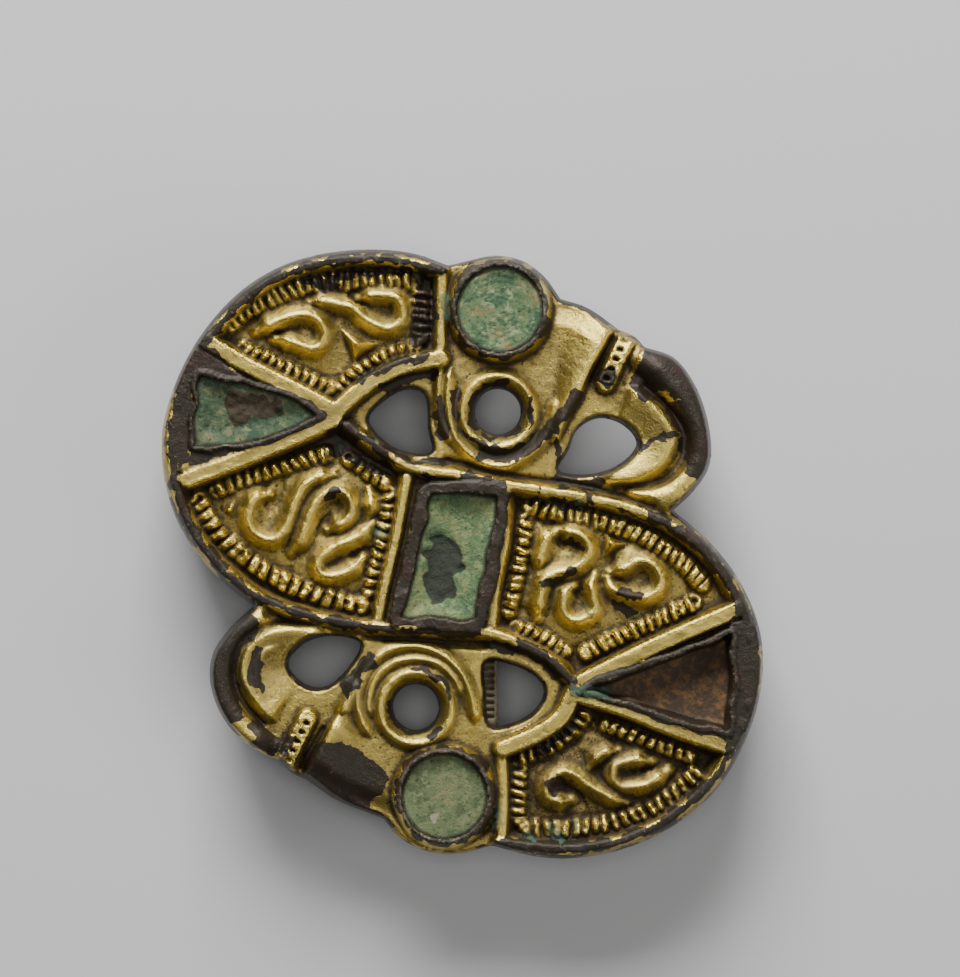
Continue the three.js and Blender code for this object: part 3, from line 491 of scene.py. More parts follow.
# Bands across each beak's root, with a row of pits and a beaded edge
bands = {
    "lines": [[(10.9, 14.25), (9.4, 11.1)], [(-11.55, -13.75), (-10.1, -10.75)]],
    "half": 0.6,       # half width
    "top": 2.85,
    "beads": 5,
    "beadRise": 0.12,
    "pitSize": 0.2,
    "pitShift": 0.08,  # the pits stand off the middle line
    "pitDepth": 0.55,
    "slope": 2.2,
}

# The heads: an uneven floor, the crests blended over it, the grooves cut in as V's, the rings and the bands
def headHeight(x, y, coarse):
    height = plate["headFloor"] + 0.06 * coarse
    for crest in crests:
        form = {key: value for key, value in crest.items() if key != "line"}
        height = blended(height, crestHeight(smoothLine(crest["line"], 0.15), x, y, **form))
    for line, half, depth in grooves:
        distance = measure(smoothLine(line), x, y, half * 2)[0]
        height = height - depth * np.clip(1 - distance / half, 0, 1)
    for cx, cy in plate["rings"]:
        r = np.hypot(x - cx, y - cy)
        bevel = rings["low"] + (rings["top"] - rings["low"]) * smoothStep(*rings["bevel"], r)
        bevel = np.where(r < rings["crest"], bevel, rings["top"] - (r - rings["crest"]) * rings["slope"])
        ring = np.where(r < rings["crest"], bevel, blended(height, bevel))
        height = np.where(r < rings["outside"], ring, height)
    for line in bands["lines"]:
        distance, place, side = measure(line, x, y, 2)
        share = place / lineLength(line) * bands["beads"]
        bead = bands["beadRise"] * np.abs(np.sin(share * np.pi)) ** 0.5
        offMiddle = ((share % 1) - 0.5) / bands["pitSize"]
        offLine = (distance * side + bands["pitShift"]) / bands["pitSize"]
        pit = bands["pitDepth"] * np.exp(-offMiddle**4 - offLine**4)
        flank = bands["slope"] * np.clip(distance / bands["half"] - 0.8, 0, 3)
        height = blended(height, bands["top"] + bead - pit - flank, 0.04)
    return height


# Scroll strokes: crest lines of chip-carved ridges that fall to a valley on each side
scrolls = {
    "lines": [
        [(-13.4, 14.6), (-12.2, 15.15), (-11, 15.55), (-10, 15.6), (-9.3, 15.2), (-8.95, 14.5),
         (-9.15, 13.75), (-9.7, 13.4), (-10.5, 13.6), (-11.3, 13.9), (-12.2, 14.05)],
        [(-10, 16.4), (-9, 16.5), (-8, 16.3), (-7.2, 16.1), (-6.4, 15.4), (-5.5, 14.9), (-4.7, 14.75),
         (-4, 15.2), (-3.85, 15.9), (-4.2, 16.7), (-5, 16.9), (-6, 16.9), (-6.8, 16.7)],
        [(-8.35, 5.2), (-9.4, 5), (-10.3, 4.4), (-10.9, 3.4), (-11.3, 2.3), (-11.7, 1.4), (-12.3, 0.9),
         (-13, 1), (-13.7, 1.5), (-14, 2.3), (-13.9, 3), (-13.4, 3.7), (-12.6, 3.9)],
        [(-11.2, 0.1), (-10.6, 0.8), (-10.2, 1.9), (-9.8, 2.9), (-9.2, 3.7), (-8.4, 4.1), (-7.7, 4),
         (-7.3, 3.5), (-7.2, 2.8), (-7.6, 2.1), (-8.3, 1.7), (-8.8, 1.5)],
        [(-5.8, 2), (-6.6, 1.2), (-7.4, 0.8), (-8.3, 0.4), (-9, -0.1), (-9.4, -0.6), (-9.2, -1.3),
         (-8.5, -1.5), (-7.7, -1.3), (-6.9, -0.8), (-6.5, -0.3)],
        [(-6.1, 4.2), (-5.95, 3.3), (-6.25, 2.2)],
        [(6.2, 1.5), (7, 1.4), (7.8, 1.2), (8.3, 0.6), (8.35, 0), (7.8, -0.7), (7.1, -1.1), (6.2, -1.3),
         (5.4, -1.7), (5.2, -2.5), (5.05, -3.4), (5, -4.2)],
        [(6.3, 1.45), (5.6, 1), (5.2, 0), (5, -1.2)],
        [(9.7, -1.3), (10.8, -0.9), (11.6, -0.5), (12.3, -0.6), (12.9, -1.2), (13.05, -1.9), (12.8, -2.5),
         (12, -2.9), (11.3, -2.8), (10.4, -2.6), (9.8, -2.2), (9.55, -1.6)],
        [(8.7, -1.4), (8.5, -2.2), (8.65, -3), (8.7, -3.7), (8.2, -4.2), (7.5, -4.4), (6.9, -4.1),
         (6.6, -3.5), (6.7, -2.8), (7, -2.3), (7.4, -2.1)],
        [(10.8, -16.3), (9.8, -16), (9, -15.6), (8.2, -15.1), (7.4, -14.5), (6.6, -14.3), (5.9, -14.7),
         (5.5, -15.3), (5.6, -15.9), (6.2, -16.2), (7.2, -16.1)],
        [(13.5, -14.2), (13, -14.6), (12.2, -15.1), (11.2, -15.3), (10.4, -15.25), (9.9, -14.7), (10, -14),
         (10.6, -13.7), (11.5, -13.5), (12.4, -13.6)],
        [(8.3, -14.1), (8.8, -13.4), (9.5, -13), (10.3, -12.9)],
    ],
    "top": 2.52,
    "crest": 0.1,      # half width of the crest
    "slope": 1.1,      # fall for each millimetre away from it
    "apron": (0.56, 0.25),  # the gentler fall beyond: where it would start, and for each millimetre
    "reach": 1.65,
    "ends": 0.5,       # how far a scroll sinks at its ends
}

# Chip-carved pyramids between the scrolls: the corners and the tip
pyramids = {
    "forms": [
        ([(-8.2, 15), (-5.1, 13.8), (-7.05, 12.4)], (-7, 13.75)),
        ([(9.3, 1.4), (10.9, 0.6), (9.1, -0.7)], (9.8, 0.7)),
        ([(-15.7, 2.9), (-14.9, 3.4), (-14.9, 2.2)], (-15.2, 2.85)),
    ],
    "top": 2.75,
}

# Border rows of small ribs: the middle line of each row, the length of its ribs and their pitch
ribRows = {
    "rows": [
        ([(-15.5, 14.7), (-14.2, 15.9), (-12.5, 16.8), (-10.5, 17.5), (-8, 17.85), (-5.5, 17.95),
          (-3.3, 17.85)], 1.4, 0.54),
        ([(-2.65, 17.3), (-2.6, 14.2)], 1.4, 0.55),
        ([(-2.5, 13.6), (-4.2, 13.25), (-5.8, 12.55), (-7.2, 11.55), (-7.9, 10.9)], 1.2, 0.6),
        ([(-14.3, 13.45), (-12, 12.35), (-10.2, 11.45), (-8.6, 10.75)], 1.2, 0.6),
        ([(-16.1, 4.1), (-14, 4.95), (-12, 5.55), (-10, 6.2), (-8.9, 6.5)], 1.15, 0.64),
        ([(-7.4, 6.2), (-6, 5.2), (-5, 4.6)], 1.1, 0.62),
        ([(-4.75, 4), (-5.05, 1.8), (-5.6, -0.6), (-6.15, -2.6)], 1.0, 0.64),
        ([(-17.2, 3.5), (-16.6, 2.2), (-15.7, 1), (-14.6, 0), (-13, -1.1), (-11.2, -2.1),
          (-9, -2.9), (-6.6, -3.45)], 1.35, 0.76),
        ([(4.6, 3.1), (6, 2.75), (8, 2.35), (10.5, 1.65), (12.6, 0.7), (14.3, -0.5), (15.8, -2)], 1.3, 0.57),
        ([(4.2, 2.2), (4, 0.2), (3.6, -1.8), (3.1, -3.8)], 1.1, 0.6),
        ([(15.2, -3.3), (13.3, -4.2), (11.4, -5.05), (9.4, -5.9), (8.2, -6.5)], 1.25, 0.57),
        ([(3.5, -4.8), (5.2, -5.4), (6.8, -6.4)], 1.0, 0.58),
        ([(3.7, -13.5), (5.3, -12.85), (6.8, -11.9), (8, -10.7)], 1.3, 0.62),
        ([(9, -11.15), (11, -11.85), (13, -12.6), (14.9, -13.3)], 1.15, 0.66),
        ([(15.6, -14.1), (14.2, -15.6), (12.4, -16.75), (10.4, -17.5), (8, -18), (5.5, -18.1),
          (4.2, -18)], 1.35, 0.64),
        ([(3.75, -14.2), (3.7, -17.3)], 1.25, 0.6),
    ],
    "height": 0.8, "lean": 0.2, "rough": 0.25,
    "shiftVaries": 0.07, "heightVaries": 0.18, "lengthVaries": 0.12,
}

# The chip-carved fields. The last is painted darker than the others, as painted shade.
panels = [
    [(-17.2, 14), (-8.6, 9.9), (-7.5, 10.3), (-6, 11.5), (-4.5, 12.2), (-1.7, 12.8), (-1.6, 18.9), (-8, 18.9),
     (-11.5, 18), (-14, 16.6)],
    [(-18.4, 4.6), (-8.4, 8.3), (-7, 7.5), (-5, 6), (-3.9, 5.1), (-4.6, 1), (-5.3, -2), (-5.7, -4.7),
     (-9.8, -3.9), (-13.1, -2.7), (-16.2, -0.2), (-18.1, 3)],
    [(3.3, 4.3), (6, 3.9), (10, 3.1), (13, 2), (15.3, 0.5), (17.2, -1.9), (17.9, -4), (13, -6.2), (8, -8.2),
     (6, -6.9), (4, -5.8), (2.3, -4.9), (2.6, -2), (3.2, 1)],
    [(2.9, -18.8), (2.9, -13.1), (5, -12.1), (6.5, -11), (7.5, -9.6), (10.5, -10.4), (14, -11.8),
     (17.2, -12.9), (16.2, -14.9), (13.5, -17.2), (10.4, -18.7), (7, -19.2), (4.6, -19.1)],
]


# A pyramid: of the planes that rise from each side of its triangle to the tip, the lowest
def pyramidHeight(corners, tip, x, y):
    c = np.array(corners)
    floor, rise = plate["panelFloor"], pyramids["top"] - plate["panelFloor"]
    (ax, ay), (bx, by) = c[1] - c[0], c[2] - c[0]
    if ax * by < ay * bx:
        c = c[::-1]  # the corners go round counter-clockwise
    planes = []
    for a, b in zip(c, np.roll(c, -1, axis=0)):
        normal = np.array([a[1] - b[1], b[0] - a[0]]) / np.hypot(*(b - a))
        inward = (x - a[0]) * normal[0] + (y - a[1]) * normal[1]
        full = (tip[0] - a[0]) * normal[0] + (tip[1] - a[1]) * normal[1]
        planes.append(floor + rise * inward / full)
    return np.min(planes, axis=0)


# Ribs across a row, as rounded billets: floor + height (1 - |u|^3)^0.7 (1 - |w|^3)^0.6, where u runs from
# -1 to 1 over each rib along the row and w across it. Each has its own place, height and length, and leans
# a little.
def ribs(line, length, pitch, x, y):
    v = ribRows
    distance, place, side = measure(line, x, y, length)
    across = distance * side / (length / 2)
    number = place / pitch + v["lean"] * np.sin(place * 0.9 + line[0, 0]) * across
    which = np.floor(number).astype(int)
    own = random.uniform(-1, 1, (3, which.max() + 2))
    u = (number - which - 0.5 + v["shiftVaries"] * own[0][which]) * 2
    height = v["height"] * (1 + v["heightVaries"] * own[1][which])
    w = across / (1 + v["lengthVaries"] * own[2][which])
    body = np.clip(1 - np.abs(u) ** 3, 0, 1) ** 0.7 * np.clip(1 - np.abs(w) ** 3, 0, 1) ** 0.6
    body = body * (1 + v["rough"] * unevenness(x, y, 0.3, 12))
    return np.where(distance < length * 0.6, plate["panelFloor"] + height * body, nowhere)


# The carving of the panels: the highest of its scrolls, pyramids and ribs. A scroll falls from its flat crest
# by the lesser of its slope and the gentler apron, and sinks towards its ends.
def carving(x, y):
    v = scrolls
    height = np.full(x.shape, nowhere)
    for line in v["lines"]:
        path = smoothLine(line, 0.12)
        distance, place, _ = measure(path, x, y, v["reach"])
        ending = v["ends"] * nearEnds(place, lineLength(path), 0.9)
        flank = v["slope"] * np.maximum(distance - v["crest"], 0)
        apron = v["apron"][0] + v["apron"][1] * distance
        height = np.maximum(height, v["top"] - ending - np.minimum(flank, apron))
    for corners, tip in pyramids["forms"]:
        height = np.maximum(height, pyramidHeight(corners, tip, x, y))
    for line, length, pitch in ribRows["rows"]:
        height = np.maximum(height, ribs(smoothLine(line), length, pitch, x, y))
    return height


# Ridges with a flat top and a straight slope to each side: the rims round the S, the bars between the
# cells and the panels, and the upright borders beside the panels
rims = {
    "lines": [
        [(-1.3, 18.5), (-3.2, 19), (-5.6, 19.25), (-9, 19), (-12, 18.05), (-14.4, 16.4), (-16.9, 13.5),
         (-18.5, 9.7), (-18.95, 6.8), (-18.3, 3.1), (-16.3, -0.3), (-13.3, -2.85), (-10, -4.1), (-6, -4.8),
         (-2, -5.05), (1.4, -5.15), (4, -6), (6, -7.1), (7.3, -8.5)],
        [(2.4, -18.9), (4.6, -19.2), (7, -19.35), (10.4, -18.8), (13.6, -17.3), (16.4, -14.8), (18.4, -10.9),
         (19.05, -7.7), (18.75, -4.9), (17.4, -1.8), (15.4, 0.6), (13.2, 2.1), (10, 3.2), (6, 4), (3, 4.45),
         (0, 5.1), (-3, 5.55), (-5, 6.6), (-7.5, 8.3)],
    ],
    "top": 2.82, "flat": 0.22, "slope": 0.7, "fall": 1.5, "uneven": 0.05, "reach": 1,
}

bars = {
    "lines": [
        [(-16.8, 13.9), (-14, 12.25), (-11, 10.75), (-8.3, 9.3)],
        [(-18, 4.8), (-13, 6.7), (-8.3, 8.75)],
        [(-8.2, 9.3), (-7, 10.4), (-5.5, 11.45), (-3.8, 12.25), (-1.4, 12.75)],
        [(18, -3.7), (13, -5.9), (7.8, -8.45)],
        [(7.3, -9.2), (10.5, -10.1), (14, -11.5), (17.3, -12.6)],
        [(7.3, -9.1), (6.5, -10.7), (5, -11.8), (2.7, -12.8)],
    ],
    "top": 2.95, "flat": 0.46, "slope": 0.42, "fall": 1.4, "uneven": 0.02, "reach": 1,
}

panelEdges = {
    "lines": [
        [(-1.3, 18.6), (-1.35, 15.5), (-1.4, 12.9)],
        [(-3.6, 4.9), (-4.3, 1), (-5, -2), (-5.5, -4.6)],
        [(2.9, 4.2), (2.8, 1), (2.2, -2), (1.9, -4.8)],
        [(2.6, -18.7), (2.7, -15.8), (2.6, -12.8)],
    ],
    "top": 2.6, "flat": 0.24, "slope": 0.55, "fall": 1.2, "uneven": 0, "reach": 0.8,
}

# The higher of a surface and the roofs over a set of lines
def withRidges(height, v, x, y, fine):
    for line in v["lines"]:
        distance = measure(smoothLine(line), x, y, 2)[0]
        ridge = roof(distance, v["flat"], v["slope"], v["top"] + v["uneven"] * fine, v["fall"])
        height = np.maximum(height, np.where(distance < v["reach"], ridge, nowhere))
    return height


# Smooth flats between cells and rims: outlines and height
flats = {
    "outlines": [
        [(17.5, -4.5), (19.2, -4.6), (19.6, -8), (18.9, -11.6), (17.2, -12), (17.9, -8)],
        [(-19, 11.8), (-17.6, 13.5), (-14.2, 11.7), (-9.6, 8.9), (-14, 10.6), (-17, 11.3), (-17.3, 7),
         (-17.6, 5.3), (-19.2, 5.6), (-19.5, 8.8)],
        [(-18, 5.1), (-17.7, 7), (-15, 7.1), (-12, 7.8), (-9.8, 8.6), (-9, 8.5), (-13, 6.9), (-17.6, 5.1)],
    ],
    "top": 2.8,
}

cells = {
    "lines": {
        "left": [(-17.6, 7), (-17.2, 11.6), (-12, 10.55), (-9.4, 8.95), (-12, 7.8), (-15, 7.05)],
        "centre": [(-2, 4), (2.4, 3.7), (1.6, -0.9), (0.8, -4.4), (-4, -4.2), (-3, -0.5)],
        "right": [(7.9, -8.95), (9.8, -8.3), (17.5, -5.3), (17.8, -8.1), (17.4, -11.6), (14, -10.7),
                  (10.5, -9.75)],
    },
    "wallTop": 3.05,
    "wallWidth": {"left": 0.32, "centre": 0.72, "right": 0.35},
    "wallSlope": 0.2,  # width of the slope outside a wall
    "wallFall": 1.6,
    "wellSlope": 0.3,  # width of the slope inside it
    "wobble": 0.16,    # how far the cut edges of the cells stray
    "floor": 1.1,
}

# Distance inwards from the edge of a cell, which strays a little from its straight outline
def cellDepth(name, x, y):
    strayX = x + cells["wobble"] * unevenness(x, y, 1.1, 61)
    strayY = y + cells["wobble"] * unevenness(x, y, 1.1, 62)
    return depthInside(cells["lines"][name], strayX, strayY, 5)


# How thick the wall round a cell is at each place
def cellWall(name, x, y):
    return cells["wallWidth"][name] + 0.07 * unevenness(x, y, 1.4, 55)


# The cells: a wall of even height round each, and inside it a floor with a slope up to the wall
def withCells(height, x, y, fine):
    v = cells
    for name in v["lines"]:
        inward, width = cellDepth(name, x, y), cellWall(name, x, y)
        wall = roof(-inward, width, v["wallSlope"], v["wallTop"] + 0.06 * fine, v["wallFall"])
        wall = np.where(inward > -width - v["wallSlope"], wall, nowhere)
        well = v["floor"] + (v["wallTop"] - v["floor"]) * (1 - np.clip(inward / v["wellSlope"], 0, 1))
        height = np.where(inward > 0, well + 0.03 * fine, np.maximum(height, wall))
    return height


eyes = {
    "centres": [(2.5, 15.95), (-1.13, -15.88)],
    "top": 3.25,
    "fallsFrom": 3.1,    # radius at which the collar starts to fall
    "collar": 3.5,
    "collarFall": 1.3,
    "collarSlope": 0.5,
    "well": 2.82,
    "wellSide": 0.12,    # width of its steep side
    "wellRise": 1.85,
    "floor": 1.4,
}

# The eyes: a collar that falls away outside, and a well with a steep side inside
def withEyes(height, x, y, coarse, fine):
    v = eyes
    for cx, cy in v["centres"]:
        r = np.hypot(x - cx, y - cy)
        collar = roof(r + 0.08 * coarse, v["fallsFrom"], v["collarSlope"], v["top"] + 0.1 * fine,
                      v["collarFall"])
        height = np.where(r < v["collar"] + 0.2, np.maximum(height, collar), height)
        side = v["wellRise"] * np.clip((r - v["well"]) / v["wellSide"] + 1, 0, 1)
        height = np.where(r < v["well"], v["floor"] + side, height)
    return height


outline = np.vstack([smoothLine(stretch)[:-1] for stretch in plate["outline"]])
openingLines = [smoothLine(line, closed=True) for line in plate["openings"]]


# Distance inwards from the outline
def edgeDepth(x, y):
    return depthInside(outline, x, y, 6)


# Distance outwards from the nearest opening or ring hole
def openingDepth(x, y):
    nearest = np.full(x.shape, 6.0)
    for line in openingLines:
        nearest = np.minimum(nearest, -depthInside(line, x, y, 6))
    for cx, cy in plate["rings"]:
        nearest = np.minimum(nearest, np.hypot(x - cx, y - cy) - plate["ringHole"])
    return nearest


# Distance into the plate from any of its edges
def plateDepth(x, y):
    return np.minimum(edgeDepth(x, y), openingDepth(x, y))


# A surface cut down to the plate's walls, foot + rise sin(pi t / 2)^power, where t is the depth over the
# width of the wall. On the shoulders the wall is wider and the face falls towards it.
def withWalls(height, x, y, edge, opening):
    v = plate
    width = np.full(x.shape, v["outerWall"])
    for line in v["shoulders"]:
        beside = fading(0.8, 2.4, measure(smoothLine(line), x, y, 3)[0])
        width = width + (v["shoulderWall"] - v["outerWall"]) * beside
        height = height - v["shoulderBevel"] * beside * fading(0.5, 1.9, edge)
    for depth, wide, power in ((edge, width, 0.9), (opening, v["openingWall"], 0.8)):
        rise = np.sin(np.pi / 2 * np.clip(depth / wide, 0, 1)) ** power
        height = np.minimum(height, v["foot"] + v["wallRise"] * rise)
    return height


# Where the gilding is gone: strokes with a half width, then patches by their outlines
wornStrokes = [
    ([(7.5, 10.3), (7, 9.3), (6.3, 8.5)], 0.45),
    ([(6.2, 8.4), (5.5, 7.9), (4.7, 7.1)], 0.5),
    ([(4.6, 7), (3, 6.3), (1.3, 6.5)], 0.4),
    ([(0.7, 7.3), (1.9, 6.9)], 0.3),
    ([(-0.4, 10.4), (-0.35, 8.8), (0.2, 7.6)], 0.2),
    ([(-1.5, 10), (-1.45, 8.6), (-1, 7.7)], 0.35),
    ([(13.9, 7.8), (13, 7.6), (11.6, 7)], 0.22),
    ([(13.6, 9.4), (12.7, 10.2)], 0.12),
    ([(14.1, 9.5), (14.75, 8), (14.9, 6.6), (15.1, 5.4)], 0.5),
    ([(6.3, 5), (7.4, 4.6), (9, 4.5)], 0.4),
    ([(6.3, 7.3), (6.4, 6), (6.6, 5.2)], 0.3),
    ([(-7.6, -9.1), (-6.9, -8), (-6.1, -7.2)], 0.5),
    ([(-13.2, -6.3), (-13.7, -7.8), (-13.1, -9)], 0.3),
    ([(-4.9, 6.1), (-2.8, 5.9), (-1, 6.1)], 0.25),
    ([(5.5, -2.1), (6.4, -1.8), (7.2, -1.1)], 0.25),
    ([(7, 0.7), (7.8, 0.5)], 0.25),
    ([(10.3, -2.6), (11.5, -2.9)], 0.25),
    ([(10, -3.3), (11.2, -3.9)], 0.3),
    ([(5.2, 3.5), (8.5, 3)], 0.3),
    ([(-2.2, 16.8), (-2.3, 14.8)], 0.55),
    ([(-9.2, 17.6), (-8.4, 17.4)], 0.4),
    ([(-10.2, 17.7), (-5.5, 18.5), (-2.4, 18.4)], 0.3),
    ([(-6.8, 11.2), (-4.6, 12.4), (-2.2, 13)], 0.25),
    ([(-5, 10.9), (-3.3, 11.5), (-1.9, 11.7)], 0.35),
    ([(-7.3, 6.4), (-6, 5.9), (-4.9, 5.4)], 0.35),
    ([(-8.6, 3.8), (-8.2, 4.2)], 0.25),
    ([(1.8, -5.9), (4.2, -6.4), (6.9, -8.2)], 0.35),
    ([(5.2, -12.9), (7.4, -11.3)], 0.25),
    ([(4.4, -19), (8, -19.1)], 0.4),
    (arc(plate["rings"][0], 1.75, 75, 215), 0.24),
    (arc(plate["rings"][0], 1.7, 235, 320), 0.18),
    (arc(plate["rings"][0], 2.3, -30, 25), 0.16),
    (arc(plate["rings"][1], 2.45, 20, 95), 0.2),
    (arc(plate["rings"][1], 2.1, -70, -40), 0.16),
    (arc(plate["rings"][1], 1.65, 170, 290), 0.12),
]
wornPatches = [
    [(11.1, 10.9), (11.6, 12.6), (12.9, 14), (15.2, 12), (17, 8.5), (16.8, 5.6), (15.5, 4.9), (14.9, 6.2),
     (14.95, 8.3), (14.3, 9.8), (12.9, 10.6), (12, 10.1)],
    [(-13.5, -4), (-13.2, -5), (-14.2, -6.1), (-14.7, -7.4), (-14.5, -9), (-14.3, -10.7), (-15.6, -11),
     (-17, -9), (-16.8, -6)],
    [(-14, -11.1), (-13.2, -10.8), (-12.3, -11.9), (-11.4, -11.8), (-11.1, -12.6), (-12, -13.3),
     (-13.3, -12.6)],
    [(-10.2, -13.4), (-9.5, -12.6), (-8.1, -12.3), (-7, -12.9), (-6, -13.7), (-5.1, -14.5), (-5.1, -15.4),
     (-5.9, -16.4), (-6.1, -18), (-10.3, -15.6)],
    [(-8.6, 6.2), (-8.5, 8.2), (-7.2, 8.4), (-6.8, 7.2), (-7.6, 6.3)],
    [(9.1, 12.1), (9.9, 12), (10, 11.2), (9.4, 10.8), (8.9, 11.4)],
    [(5.6, -14.8), (6.5, -14.7), (6.9, -15.3), (6.3, -15.9), (5.6, -15.5)],
    [(-3.4, 13.6), (-2, 13.8), (-1.8, 17.9), (-3, 18.2), (-3, 16.5)],
    [(-18.6, 12.2), (-17.2, 13.6), (-14.2, 11.7), (-9, 9), (-9.6, 8.7), (-14, 10.6), (-17.4, 11.2),
     (-17.6, 7), (-18.3, 5.6), (-18.8, 8)],
    [(17.4, -4.4), (19.9, -4.2), (20.2, -9), (19.2, -12.6), (17.1, -12.3), (17.9, -8)],
    [(-18, 5.7), (-17.2, 7), (-15, 7), (-12, 7.7), (-10.4, 8.3), (-13, 7.35), (-16.2, 6.1)],
    [(8.4, -8.5), (17.4, -5), (17.6, -5.8), (9, -9)],
]

# Where gold still stands on worn rims
keptGold = [
    ([(-19.2, 11), (-19.75, 7), (-19.3, 3.6)], 0.18),
    ([(-17.9, 0.6), (-15.6, -2.1)], 0.15),
    ([(-11.5, 17.75), (-8, 18.75), (-5.5, 18.95), (-3, 18.7)], 0.1),
    ([(3.4, 4.4), (4.6, 4.3)], 0.45),
    ([(5.6, 4), (8, 3.6)], 0.4),
    ([(9, 3.5), (12, 2.6)], 0.3),
    ([(1.6, -5.2), (3.2, -5.7)], 0.4),
    ([(-4.6, 6.3), (-3.4, 5.6), (-0.5, 5.2)], 0.3),
    ([(-4.5, -18.2), (-2.5, -19.4), (0.5, -19.6)], 0.2),
    ([(9, -19.9), (14, -18), (17, -15)], 0.15),
    ([(19.6, -10), (19.7, -6)], 0.12),
    ([(-14.5, -12.3), (-12.2, -13.6)], 0.25),
    ([(8.4, 3.1), (12.8, 1.6), (15.8, -0.6), (17.8, -3.2)], 0.1),
    ([(-12, -3.2), (-7, -4.4), (-3, -4.9)], 0.09),
]

# Specks and seeps of verdigris
greenStrokes = [
    ([(-5.5, 1.5), (-5.3, 1.3)], 0.4),
    ([(-8, 7), (-7.8, 6.6)], 0.3),
    ([(-5.6, 7.4), (-5.4, 7.3)], 0.2),
    ([(7.6, -9), (9.2, -9.2)], 0.5),
    ([(3.9, -18.4), (4.6, -18.6)], 0.3),
    ([(5.9, -18.1), (6.6, -18.7)], 0.4),
    ([(7.4, -17.4), (7.5, -18.2)], 0.25),
    ([(-1.1, 16.9), (-1, 15.4)], 0.3),
    ([(2.2, -18), (2.3, -17)], 0.3),
    ([(7.3, 3.3), (8, 3.2)], 0.25),
    ([(8, -3.4), (8.5, -3.9)], 0.2),
]

# How far the wear reaches round each form: it fades between the first two values, from the share that
# comes third
wear = {
    "rims": (0.22, 0.52, 0.95),      # from the rim's line
    "cells": (0, 0.25, 1),           # from the outside of the wall
    "eyes": (3.05, 3.5, 1),          # from the eye's centre
    "openings": (0.05, 0.4, 0.75),   # from the edge of the opening
    "edge": (0.2, 0.55, 0.65),       # from the outline
    "edgeVaries": 0.35,
    "kept": 0.8,                     # how much of the gold still stands on keptGold
}


# 1 on a stroke, fading to 0 from a half to one and a half times its half width
def strokes(items, x, y):
    result = np.zeros(x.shape)
    for line, half in items:
        distance = measure(line, x, y, half * 2)[0]
        result = np.maximum(result, fading(half * 0.5, half * 1.5, distance))
    return result


# 1 inside an outline, fading to 0 over a soft border. An outline of more than four points is a smooth one.
def patches(items, x, y, soft=0.25):
    result = np.zeros(x.shape)
    for line in items:
        line = smoothLine(line, closed=True) if len(line) > 4 else line
        result = np.maximum(result, smoothStep(-soft, soft, depthInside(line, x, y, 3)))
    return result


# How worn the gilding is, from 0 to 1: the most that any place gives, less the gold that still stands. The
# torn places stray from the true ones, so that the edges of the wear are ragged.
def wornGilding(x, y, tornX, tornY, coarse, fine, edge, opening):
    rim = np.min([measure(smoothLine(line), tornX, tornY, 2)[0] for line in rims["lines"]], axis=0)
    start, end, share = wear["rims"]
    worn = share * fading(start, end, rim + 0.14 * coarse)
    start, end, share = wear["cells"]
    for name in cells["lines"]:
        outward = 0.08 * fine - cellDepth(name, x, y)
        width = cellWall(name, x, y)
        worn = np.maximum(worn, share * fading(width + start, width + end, outward))
    start, end, share = wear["eyes"]
    for cx, cy in eyes["centres"]:
        r = np.hypot(tornX - cx, tornY - cy)
        worn = np.maximum(worn, share * fading(start, end, r + 0.2 * coarse))
    worn = np.maximum(worn, strokes(wornStrokes, tornX, tornY))
    worn = np.maximum(worn, patches(wornPatches, tornX, tornY))
    start, end, share = wear["openings"]
    worn = np.maximum(worn, share * fading(start, end, opening))
    start, end, share = wear["edge"]
    worn = np.maximum(worn, (share + wear["edgeVaries"] * coarse) * fading(start, end, edge))
    return np.clip(worn * (1 - wear["kept"] * strokes(keptGold, tornX, tornY)), 0, 1)


# How far points of the face lie below the mean height in a square round them, negative where they stand proud
def sunkBelow(x, y, height, reach):
    step = plate["step"]
    i, j = np.round((x - x.min()) / step).astype(int), np.round((y - y.min()) / step).astype(int)
    total = np.zeros((i.max() + 1, j.max() + 1))
    count = np.zeros(total.shape)
    np.add.at(total, (i, j), height)
    np.add.at(count, (i, j), 1)
    wide = int(reach / step)
    for axis in (0, 1):
        total = sum(np.roll(total, shift, axis) for shift in range(-wide, wide + 1))
        count = sum(np.roll(count, shift, axis) for shift in range(-wide, wide + 1))
    return total[i, j] / count[i, j] - height


